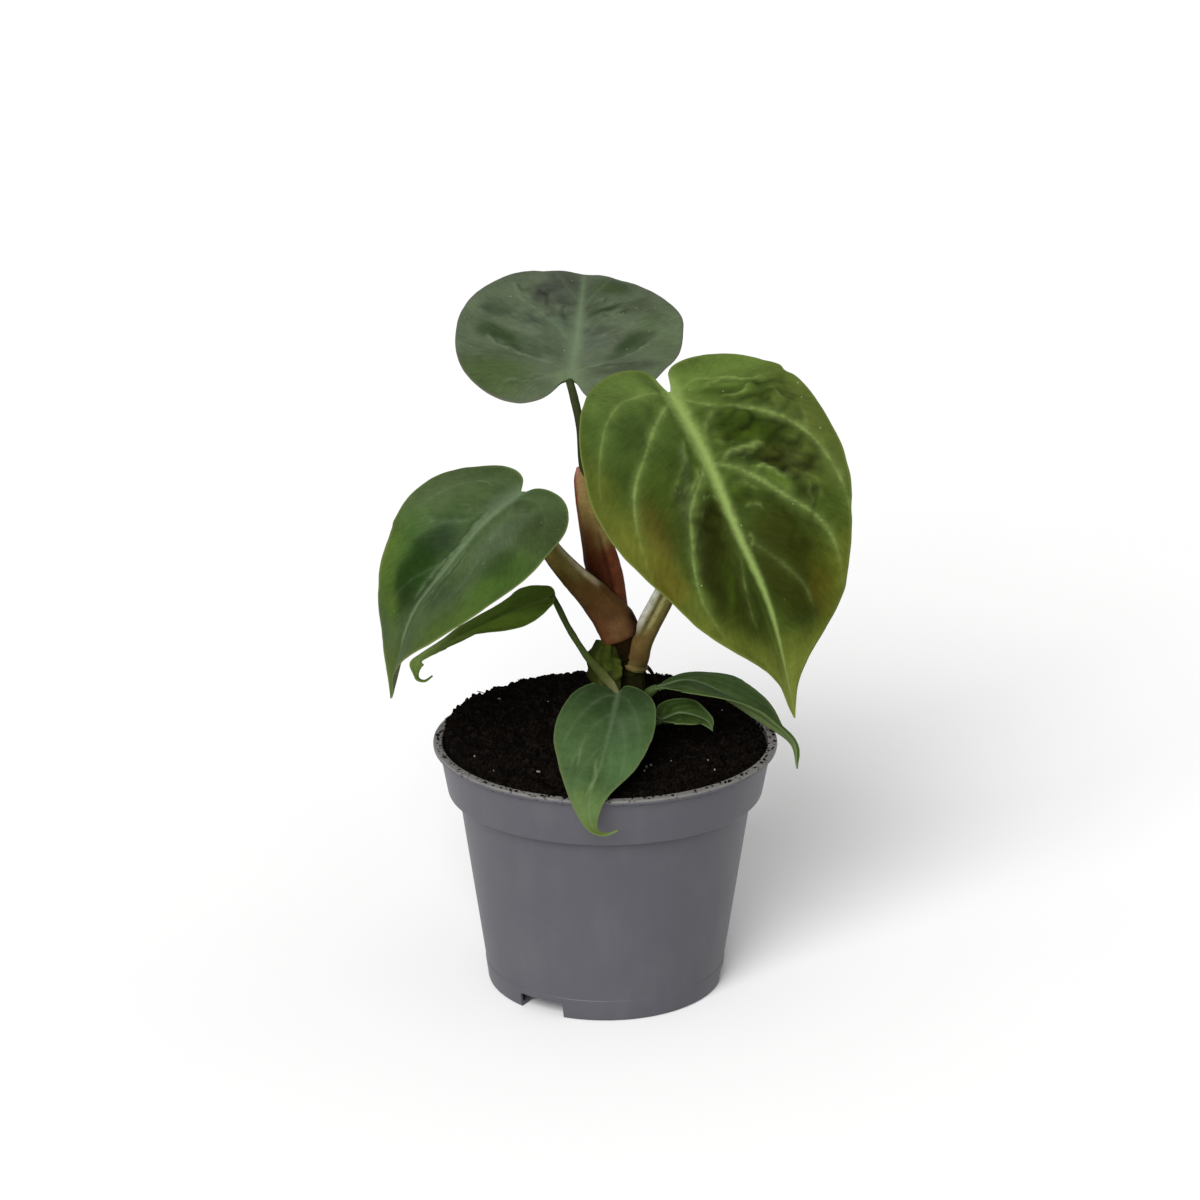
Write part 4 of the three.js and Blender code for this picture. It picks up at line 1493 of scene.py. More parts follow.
@dataclass(frozen=True)
class Pot:
    """A thin moulded nursery pot with a lip, a collar, a tapered body and a notched foot."""

    finish: PotFinish
    height: float = 89.0
    wall: float = 1.2
    lip_radius: float = 60.0
    lip_thickness: float = 1.6
    collar_top: float = 58.0
    collar_foot: float = 55.1
    collar_z: float = 71.0
    body_top: float = 51.4
    body_foot: float = 41.4
    floor: float = 1.4
    channel_z: float = 6.5
    channel_radii: tuple[float, float] = (17.5, 33.5)
    channel_feet: tuple[float, float] = (14.0, 37.0)
    mould_line: float = 7.8
    notches: int = 3
    notch_width: float = 17.5
    notch_height: float = 5.6
    notch_bearing: float = -32.5
    notch_depth: float = 12.0
    notch_bevel: float = 0.9
    drains: int = 6
    drain_radius: float = 4.0
    drain_circle: float = 25.5
    drain_depth: float = 8.0
    sides: int = 160

    SHARP_EDGE = 32

    def body_radius(self, z: float) -> float:
        """The body's outer radius at a height."""
        return self.body_foot + (self.body_top - self.body_foot) * z / self.collar_z

    def profile(self) -> list[tuple[float, float, float]]:
        """Lays out the section, from under the floor round the wall to the top of the floor.

        Returns:
            Its corners, each with its distance from the axis, its height and its rounding.
        """
        lip_foot = self.height - self.lip_thickness
        floor_top = self.channel_z + self.floor
        ledge = self.collar_z + self.wall
        line = self.mould_line
        return [
            (0.0, 0.0, 0.0),
            (self.channel_feet[0], 0.0, 0.6),
            (self.channel_radii[0], self.channel_z, 1.0),
            (self.channel_radii[1], self.channel_z, 1.0),
            (self.channel_feet[1], 0.0, 0.6),
            (self.body_foot + 0.1, 0.0, 1.0),
            (self.body_radius(line), line, 0.1),
            (self.body_radius(line) - 0.16, line + 0.25, 0.1),
            (self.body_top, self.collar_z - 0.1, 0.35),
            (self.collar_foot - 0.1, self.collar_z - 0.1, 0.8),
            (self.collar_top, lip_foot, 0.5),
            (self.lip_radius, lip_foot, 0.5),
            (self.lip_radius, self.height, 0.6),
            (self.collar_top - self.wall, self.height, 0.6),
            (self.collar_foot - self.wall, ledge, 0.6),
            (self.body_top - self.wall, ledge, 0.5),
            (self.body_radius(self.floor) - self.wall, self.floor, 1.0),
            (self.channel_feet[1] + 0.9, self.floor, 0.8),
            (self.channel_radii[1] + 0.9, floor_top, 0.8),
            (self.channel_radii[0] - 0.9, floor_top, 0.8),
            (self.channel_feet[0] - 0.9, self.floor, 0.8),
            (0.0, self.floor, 0.0),
        ]

    def section(self) -> Array:
        """Rounds the section's corners.

        Returns:
            The section's points.
        """
        corners = self.profile()
        points = [corners[0][:2]]
        for before, here, after in zip(corners, corners[1:], corners[2:]):
            place = np.array(here[:2])
            back = np.array(before[:2]) - place
            on = np.array(after[:2]) - place
            cut = min(here[2], 0.45 * np.linalg.norm(back), 0.45 * np.linalg.norm(on))
            start = place + cut * unit(back)
            end = place + cut * unit(on)
            for t in (0.0, 0.33, 0.67, 1.0):
                points.append(tuple(start * (1 - t) ** 2 + 2 * place * t * (1 - t) + end * t * t))
        points.append(corners[-1][:2])
        return np.array(points)

    def shell(self) -> bpy.types.Mesh:
        """Turns the section about the pot's axis.

        Returns:
            The closed mesh.
        """
        section = self.section()
        ring = section[1:-1]
        angle = np.arange(self.sides) * TURN / self.sides
        x = ring[:, None, 0] * np.cos(angle)
        y = ring[:, None, 0] * np.sin(angle)
        z = np.repeat(ring[:, 1:], self.sides, axis=1)
        foot, top = ([0, 0, height] for height in section[[0, -1], 1])
        return closed_rings("pot_shell", np.stack([x, y, z], -1), foot, top, self.finish.material())

    def cutters(self) -> bpy.types.Object:
        """Makes the shapes of the foot's notches and the drain holes.

        Returns:
            One object of all of them.
        """
        work = bmesh.new()
        for i in range(self.notches):
            box = bmesh.ops.create_cube(work, size=1.0)["verts"]
            size = Vector((self.notch_width, self.notch_depth, 2 * self.notch_height)) * MM
            bmesh.ops.scale(work, vec=size, verts=box)
            edges = [e for v in box for e in v.link_edges if abs(e.verts[0].co.y - e.verts[1].co.y) > MM]
            edges = list(dict.fromkeys(edges))
            bevel = self.notch_bevel * MM
            bmesh.ops.bevel(work, geom=edges, offset=bevel, segments=3, profile=0.5, affect="EDGES")
        boxes = list(work.verts)
        share = len(boxes) // self.notches
        for i in range(self.notches):
            bearing = math.radians(self.notch_bearing + 360 * i / self.notches)
            for vert in boxes[i * share : (i + 1) * share]:
                x, y = vert.co.x, vert.co.y - self.body_foot * MM
                vert.co.x = x * math.cos(bearing) - y * math.sin(bearing)
                vert.co.y = x * math.sin(bearing) + y * math.cos(bearing)
        for i in range(self.drains):
            bearing = TURN * i / self.drains
            radius = self.drain_radius * MM
            size = {"radius1": radius, "radius2": radius, "depth": self.drain_depth * MM}
            hole = bmesh.ops.create_cone(work, cap_ends=True, segments=32, **size)["verts"]
            place = (math.cos(bearing), math.sin(bearing), self.channel_z / self.drain_circle)
            bmesh.ops.translate(work, vec=Vector(place) * self.drain_circle * MM, verts=hole)
        mesh = bpy.data.meshes.new("pot_cutters")
        work.to_mesh(mesh)
        work.free()
        return link("pot_cutters", mesh)

    def build(self) -> None:
        """Builds and dresses the pot."""
        piece = link("grey_pot", self.shell())
        cutters = self.cutters()
        cut = piece.modifiers.new("cut", "BOOLEAN")
        cut.object = cutters
        cut.operation = "DIFFERENCE"
        cut.solver = "EXACT"
        mesh = evaluated(piece)
        piece.modifiers.clear()
        piece.data = mesh
        bpy.data.objects.remove(cutters)
        mark_sharp(mesh, math.radians(self.SHARP_EDGE))
        seat(piece, Slot.POT, "pot")


def mark_sharp(mesh: bpy.types.Mesh, limit: float) -> None:
    """Makes a mesh smooth, apart from edges that turn by more than a limit.

    Args:
        mesh: The mesh.
        limit: The angle, in radians.
    """
    work = bmesh.new()
    work.from_mesh(mesh)
    for face in work.faces:
        face.smooth = True
    for edge in work.edges:
        edge.smooth = len(edge.link_faces) == 2 and edge.calc_face_angle(0.0) < limit
    work.to_mesh(mesh)
    work.free()


@dataclass(frozen=True)
class Soil:
    """Crumbly potting soil: level at the front and heaped at the back left."""

    earth: EarthFinish
    crumb: EarthFinish
    fibre: EarthFinish
    grain: EarthFinish
    pot: Pot
    inset: float = 1.6
    rim_z: float = 87.4
    crown: float = 0.6
    heap: float = 7.4
    heap_way: tuple[float, float] = (-0.5, 0.87)
    lumps: float = 0.7
    rings: int = 110
    spokes: int = 240

    RADIUS = 56.0

    def height(self, x: Array, y: Array) -> Array:
        """The height of the soil's smooth top at places in the pot.

        Args:
            x: How far to the right each place is.
            y: How far to the back it is.

        Returns:
            The heights.
        """
        out = np.minimum(1, np.hypot(x, y) / self.RADIUS)
        to_heap = (self.heap_way[0] * x + self.heap_way[1] * y) / self.RADIUS
        heap = self.heap * soft(to_heap, -0.4, 0.6) * (1 - 0.32 * out**24)
        lumps = np.sin(0.31 * x + 1.7) * np.cos(0.27 * y) + np.sin(0.19 * x - 0.37 * y + 0.6)
        return self.rim_z + self.crown * (1 - out**4) + heap + self.lumps * lumps * (1 - 0.6 * out**2)

    def collar(self, z: float) -> float:
        """The soil's radius inside the collar at a height."""
        share = (z - self.pot.collar_z) / (self.pot.height - self.pot.collar_z)
        return self.pot.collar_foot + (self.pot.collar_top - self.pot.collar_foot) * share - self.inset

    def top(self) -> Array:
        """Lays out the rough top.

        Returns:
            Its points, ring by ring from its edge to its middle.
        """
        edge = self.collar(self.rim_z - 1)
        radius = edge * np.linspace(1, 0.004, self.rings)[:, None]
        angle = np.arange(self.spokes)[None] * TURN / self.spokes
        x = radius * np.cos(angle)
        y = radius * np.sin(angle)
        flat = np.stack([x, y, 0 * x], -1)
        rough = 1.3 * ruffle(flat, 7.0, 0.4) + 0.9 * ruffle(flat, 3.0, 1.9) + 0.45 * ruffle(flat, 1.3, 4.4)
        out = np.hypot(x, y) / edge
        return np.stack([x, y, self.height(x, y) + rough * (1 - 0.5 * out**8)], -1)

    def plug(self) -> bpy.types.Mesh:
        """Fills the pot from its floor to the rough top.

        Returns:
            The closed mesh.
        """
        pot = self.pot
        foot = pot.channel_z + pot.floor + 0.3
        ledge = pot.collar_z + pot.wall + 0.3
        edge = self.collar(self.rim_z - 1)
        sides = [
            (pot.body_radius(foot) - self.inset, foot),
            (pot.body_top - self.inset, ledge),
            (self.collar(ledge) - 0.3, ledge + 0.1),
            (self.collar(self.rim_z - 3), self.rim_z - 3),
            (edge, self.rim_z - 1.5),
        ]
        angle = np.arange(self.spokes) * TURN / self.spokes
        turned = np.stack([np.cos(angle), np.sin(angle), 0 * angle], -1)
        lower = np.array([turned * [r, r, 0] + [0, 0, z] for r, z in sides])
        rings = np.concatenate([lower, self.top()])
        return closed_rings("soil_plug", rings, [0, 0, foot], rings[-1].mean(0), self.earth.material())

    def cover(self) -> bpy.types.Mesh:
        """Makes the rough top alone, on which crumbs are scattered.

        Returns:
            The mesh.
        """
        rings = self.top()[:-3]
        faces = ring_faces(len(rings), self.spokes)
        return mesh_of("soil_cover", rings.reshape(-1, 3), faces, self.earth.material())

    def lip_ring(self) -> bpy.types.Mesh:
        """Makes the top of the pot's lip, on which a few crumbs lie.

        Returns:
            The mesh.
        """
        pot = self.pot
        angle = np.arange(self.spokes) * TURN / self.spokes
        radii = (pot.collar_top - pot.wall - 0.6, pot.lip_radius - 0.9)
        z = (self.rim_z + 0.8, pot.height)
        points = np.array([[r * math.cos(a), r * math.sin(a), h] for r, h in zip(radii, z) for a in angle])
        return mesh_of("lip_ring", points, ring_faces(2, self.spokes)[:, ::-1], self.earth.material())

    def build(self) -> None:
        """Builds and dresses the soil with its crumbs, fibres and grains."""
        seat(link("potting_soil", self.plug()), Slot.SOIL, "soil")
        cover = self.cover()
        lip = self.lip_ring()
        crumb = {"Finish": self.crumb.material()}
        small = {**crumb, "Smallest": (0.25 * MM,) * 3, "Roughness": 0.7 * MM, "Grain": 1400.0}
        small["Largest"] = (0.75 * MM,) * 3
        clods = {**crumb, "Smallest": (0.5 * MM,) * 3, "Roughness": 1.6 * MM, "Grain": 650.0}
        clods["Largest"] = (1.3 * MM,) * 3
        on_lip = {**small, "Largest": (1.0 * MM,) * 3, "Density": 2.6e5, "Detail": 1, "Seed": 5}
        pale = {**small, "Finish": self.grain.material(), "Density": 1.7e3, "Detail": 2, "Seed": 23}
        strands = {"Length": 5.5 * MM, "Thickness": 0.13 * MM, "Density": 1.7e4, "Seed": 7}
        strands["Finish"] = self.fibre.material()
        crumbs = CrumbTree()
        sets = (
            ("soil_clods", crumbs, cover, {**clods, "Density": 9.0e4, "Detail": 2, "Seed": 3}),
            ("soil_crumbs", crumbs, cover, {**small, "Density": 4.6e5, "Detail": 1, "Seed": 11}),
            ("lip_crumbs", crumbs, lip, on_lip),
            ("pale_grains", crumbs, cover, pale),
            ("soil_fibres", FibreTree(), cover, strands),
        )
        for name, tree, carrier, sizes in sets:
            seat(link(name, tree.scatter(name, carrier, sizes)), Slot.SOIL)
        for mesh in (cover, lip):
            bpy.data.meshes.remove(mesh)


@dataclass(frozen=True)
class Studio:
    """A pale floor, soft light and the camera."""

    lens: float = 104.55
    film: float = 36.0
    distance: float = 1.2
    elevation: float = 18.5
    target: Point = (-0.00183, 0.0, 0.1397)
    floor_size: float = 30.0
    sky: float = 0.515
    key: float = 3.75
    key_way: Point = (-0.284, -0.779, 0.559)
    key_spread: float = 38.0

    def build(self) -> None:
        """Builds the floor, the lights and the camera."""
        bpy.context.scene.view_settings.view_transform = "Standard"
        self.floor()
        self.lights()
        self.camera()

    def floor(self) -> None:
        """Lays the floor."""
        half = self.floor_size / 2
        points = np.array([(-half, -half, 0), (half, -half, 0), (half, half, 0), (-half, half, 0)]) / MM
        paint = Paint("pale_floor")
        tone = paint.mix(paint.cloud(0.4).step(0.3, 0.7), (0.86, 0.86, 0.86), (0.88, 0.88, 0.875))
        material = paint.done(Base_Color=tone, Roughness=0.9, Specular_IOR_Level=0.1)
        link("floor", mesh_of("floor", points, [[0, 1, 2, 3]], material))

    def lights(self) -> None:
        """Hangs a soft sky and a broad key light."""
        world = bpy.data.worlds.new("studio")
        world.use_nodes = True
        background = world.node_tree.nodes["Background"]
        background.inputs["Color"].default_value = (1.0, 1.0, 1.0, 1.0)
        background.inputs["Strength"].default_value = self.sky
        bpy.context.scene.world = world
        key = bpy.data.lights.new("key", "SUN")
        key.energy = self.key
        key.angle = math.radians(self.key_spread)
        lamp = bpy.data.objects.new("key", key)
        lamp.rotation_euler = (-Vector(self.key_way)).to_track_quat("-Z", "Y").to_euler()
        bpy.context.scene.collection.objects.link(lamp)

    def camera(self) -> None:
        """Places the camera."""
        data = bpy.data.cameras.new("camera")
        data.lens = self.lens
        data.sensor_width = self.film
        data.clip_end = 60.0
        camera = bpy.data.objects.new("camera", data)
        tilt = math.radians(self.elevation)
        way = Vector((0.0, -math.cos(tilt), math.sin(tilt)))
        camera.location = Vector(self.target) + self.distance * way
        camera.rotation_euler = (-way).to_track_quat("-Z", "Y").to_euler()
        bpy.context.scene.collection.objects.link(camera)
        bpy.context.scene.camera = camera


GREY_PLASTIC = PotFinish(
    "grey_plastic",
    grey=(0.0675, 0.066, 0.0775),
    dust=(0.17, 0.165, 0.16),
    mud=(0.008, 0.006, 0.004),
    lip_wear_and_highlight=(0.17, 0.162, 0.15),
    lip_height=89.0,
)
PEAT = EarthFinish("peat", (0.0028, 0.0023, 0.002), (0.0085, 0.0063, 0.0051))
CRUMB = EarthFinish("crumb", (0.0034, 0.0028, 0.0024), (0.013, 0.0096, 0.0076))
FIBRE = EarthFinish("fibre", (0.005, 0.0033, 0.002), (0.024, 0.016, 0.01))
GRAIN = EarthFinish("grain", (0.14, 0.12, 0.1), (0.5, 0.48, 0.44), 0.7)

DULL_LEAF = LeafFinish(
    name="dull_leaf",
    lamina=(0.074, 0.095, 0.056),
    vein=(0.112, 0.152, 0.086),
    margin=(0.085, 0.085, 0.065),
    under=(0.1, 0.11, 0.06),
    vein_share=0.75,
    velvet=0.02,
    gloss=0.03,
)
BRIGHT_LEAF = LeafFinish(
    name="bright_leaf",
    lamina=(0.036, 0.058, 0.009),
    vein=(0.17, 0.235, 0.065),
    margin=(0.1, 0.13, 0.03),
    under=(0.14, 0.18, 0.05),
    vein_share=0.85,
)
DEEP_LEAF = LeafFinish(
    name="deep_leaf",
    lamina=(0.045, 0.071, 0.025),
    vein=(0.105, 0.15, 0.08),
    margin=(0.1, 0.13, 0.035),
    under=(0.1, 0.12, 0.05),
    vein_share=0.5,
    velvet=0.01,
    gloss=0.02,
)
YOUNG_LEAF = LeafFinish(
    name="young_leaf",
    lamina=(0.054, 0.096, 0.033),
    vein=(0.125, 0.175, 0.09),
    margin=(0.085, 0.12, 0.045),
    under=(0.1, 0.14, 0.05),
    vein_share=0.5,
)
OLIVE_LEAF = LeafFinish(
    name="olive_leaf",
    lamina=(0.08, 0.13, 0.02),
    vein=(0.15, 0.22, 0.06),
    margin=(0.12, 0.18, 0.035),
    under=(0.1, 0.15, 0.028),
    vein_share=0.35,
    gloss=0.0,
)

STALK_SKIN = StalkFinish("stalk_skin", (0.05, 0.04, 0.012), 0.35)
PALE_SKIN = StalkFinish("pale_skin", (0.05, 0.045, 0.012), 0.75)
SHEATH_SKIN = StalkFinish("sheath_skin", (0.03, 0.008, 0.004), 0.2, 0.4)
STEM_SKIN = StalkFinish("stem_skin", (0.02, 0.02, 0.006), 0.4, 0.6, 0.0)
ROOT_SKIN = StalkFinish("root_skin", (0.02, 0.016, 0.01), 0.4, 0.65, 0.0)


def arched(strength: float = 0.8) -> tuple[Vein, ...]:
    """The side veins of half a small blade, which all leave near the stalk and arch to the tip.

    Args:
        strength: How clearly the clearest of them shows.

    Returns:
        The veins.
    """
    return (
        Vein(((0.02, 0.05), (-0.02, 0.35), (0.06, 0.66), (0.2, 0.84)), 0.5 * strength),
        Vein(((0.03, 0.04), (0.08, 0.3), (0.22, 0.6), (0.42, 0.78), (0.58, 0.74)), strength),
        Vein(((0.16, 0.03), (0.26, 0.28), (0.42, 0.46), (0.62, 0.52), (0.76, 0.42)), 0.85 * strength),
        Vein(((0.36, 0.02), (0.48, 0.2), (0.64, 0.3), (0.82, 0.26)), 0.6 * strength),
    )


TOP_LEAF = Blade(
    "top_leaf", Slot.DARK_LEAF, DULL_LEAF,
    midrib=(
        (-12.3, 17.8, 213.4), (-10.5, 38.6, 219.5), (-8.3, 65, 231.2), (-7.4, 89.5, 233.4),
        (-7.7, 109.4, 212.8),
    ),
    half_widths=(38, 42), outline=Outline(0.275, 0.01, 0.212, 0.03, 0.4, 0.3), roll=(-2, 5, 8),
    fold=(6.6, -8), lift=-0.16, waves=5, pucker=0.9, wave=0.1, ripple=0.15, rib=4.4, rib_light=(1.1, 0.05),
    # Its grey-green zones are partly painted velvet sheen.
    tints_and_painted_light=(
        Zone(-0.02, -0.7, 0.15, 0.45, 0.85, (47, 70, 22)), Zone(0.35, -0.8, 0.2, 0.3, 0.5, (70, 94, 50)),
        Zone(0.2, 0.95, 0.28, 0.28, 0.8, (88, 114, 60)), Zone(0.6, 0.9, 0.25, 0.3, 0.6, (88, 108, 62)),
        Zone(0.03, 0, 0.06, 0.13, 0.8, (115, 150, 60)), Zone(0.22, 0.2, 0.12, 0.26, 0.6, (78, 96, 62)),
        Zone(0.28, -0.2, 0.14, 0.25, 0.5, (68, 86, 53)), Zone(0.5, -0.12, 0.16, 0.26, 0.8, (45, 54, 37)),
        Zone(0.3, 0.85, 0.3, 0.3, 0.5, (66, 92, 45)), Zone(0.62, -0.5, 0.12, 0.3, 0.5, (70, 86, 52)),
        Zone(0.18, -0.3, 0.04, 0.14, 0.4, (30, 48, 18), -0.39),
        Zone(0.38, -0.7, 0.04, 0.1, 0.8, (36, 50, 28), -0.33),
        Zone(0.53, -0.25, 0.173, 0.17, 0.85, (36, 40, 30), 0.8),
        Zone(0.56, 0.27, 0.07, 0.21, 0.9, (26, 42, 12), 0.14),
        Zone(0.4, 0.25, 0.039, 0.189, 1, (16, 26, 10), 0.88),
        Zone(0.48, 0.56, 0.099, 0.106, 0.6, (45, 60, 30), 0.77),
        Zone(0.24, 0.13, 0.08, 0.114, 0.5, (60, 75, 55), -0.24),
        Zone(0.03, 0.57, 0.041, 0.265, 0.8, (45, 58, 32), 0.52),
        Zone(0.31, -0.14, 0.036, 0.056, 0.5, (50, 80, 50), 0.1),
        Zone(0.01, -0.57, 0.065, 0.246, 0.6, (45, 70, 22), -0.27),
        Zone(0.35, 0.66, 0.068, 0.109, 0.5, (58, 85, 32), 0.54),
        Zone(0.22, -0.6, 0.07, 0.21, 0.95, (20, 35, 11), -0.65),
        Zone(0.2, 0.49, 0.092, 0.216, 0.9, (18, 31, 10), 0.66),
        Zone(0.45, 0.1, 0.12, 0.12, 0.5, (50, 68, 36)),
        Zone(0.67, -0.22, 0.198, 0.12, 0.5, (50, 62, 42), -0.16),
    ),
    folds=(
        Fold(((564, -595), (474, -528), (414, -438), (366, -323)), 0.5, 0.5, 0.75, -1),
        Fold(((244, -752), (176, -638), (158, -498), (126, -377), (104, -222)), 0.7, 0.6, 0.8, -1),
        Fold(((93, 316), (122, 455), (181, 608), (264, 721)), 0.6, 0.6, 0.7, -1),
        Fold(((363, 272), (383, 342), (386, 478)), 0.5, 0.6, 0.8, -1),
        Fold(((418, 38), (438, 126), (457, 195), (491, 234)), 0.5, 0.6, 0.6, 1),
        Fold(((373, 177), (384, 306), (408, 391), (430, 469)), 0.5, -0.5, -0.8, 1),
        Fold(((348, -614), (321, -535), (334, -443)), 0.5, 0.4, 0.3, -1),
        Fold(((276, -537), (249, -383), (267, -233)), 0.8, 0.4, 0.35, 1),
        Fold(((501, -388), (470, -308), (409, -267), (383, -285)), 0.6, -0.5, -0.5, 1),
        Fold(((536, -547), (493, -506), (515, -440)), 0.5, -0.4, -0.5, 1),
        Fold(((-61, -550), (-23, -398), (13, -201)), 0.8, 0.3, 0.4, 1),
        Fold(((78, 250), (64, 437), (71, 634)), 0.6, -0.4, -0.6, 1),
        Fold(((423, -121), (369, -133), (329, -89)), 0.5, -0.4, -0.4, 1),
    ),
    creases=(Zone(0.4, -0.3, 0.14, 0.3, 0.5), Zone(0.3, 0.2, 0.1, 0.25, 0.4)),
    dents=(
        Dent(Half.LEFT, 0.75, 0.06, 2.4), Dent(Half.RIGHT, 0.43, 0.05, 1), Dent(Half.RIGHT, 0.72, 0.08, 2.6),
    ),
    veins=(
        (
            Vein(((0.02, 0.06), (-0.04, 0.3), (-0.02, 0.55)), 0.5),
            Vein(((0.03, 0.04), (0.06, 0.12), (0.11, 0.38), (0.2, 0.65), (0.32, 0.82)), 0.8),
            Vein(((0.24, 0.03), (0.34, 0.2), (0.46, 0.42), (0.6, 0.55)), 0.55),
            Vein(((0.42, 0.02), (0.54, 0.16), (0.68, 0.3)), 0.4),
        ),
        (
            Vein(((0.02, 0.06), (-0.04, 0.36), (-0.02, 0.6)), 0.6),
            Vein(((0.04, 0.04), (0.08, 0.14), (0.13, 0.4), (0.15, 0.54), (0.23, 0.72)), 1),
            Vein(((0.22, 0.03), (0.31, 0.18), (0.38, 0.36), (0.5, 0.54), (0.6, 0.6)), 0.9),
            Vein(((0.45, 0.02), (0.56, 0.16), (0.7, 0.28)), 0.4),
        ),
    ),
    grid=(150, 56),
)
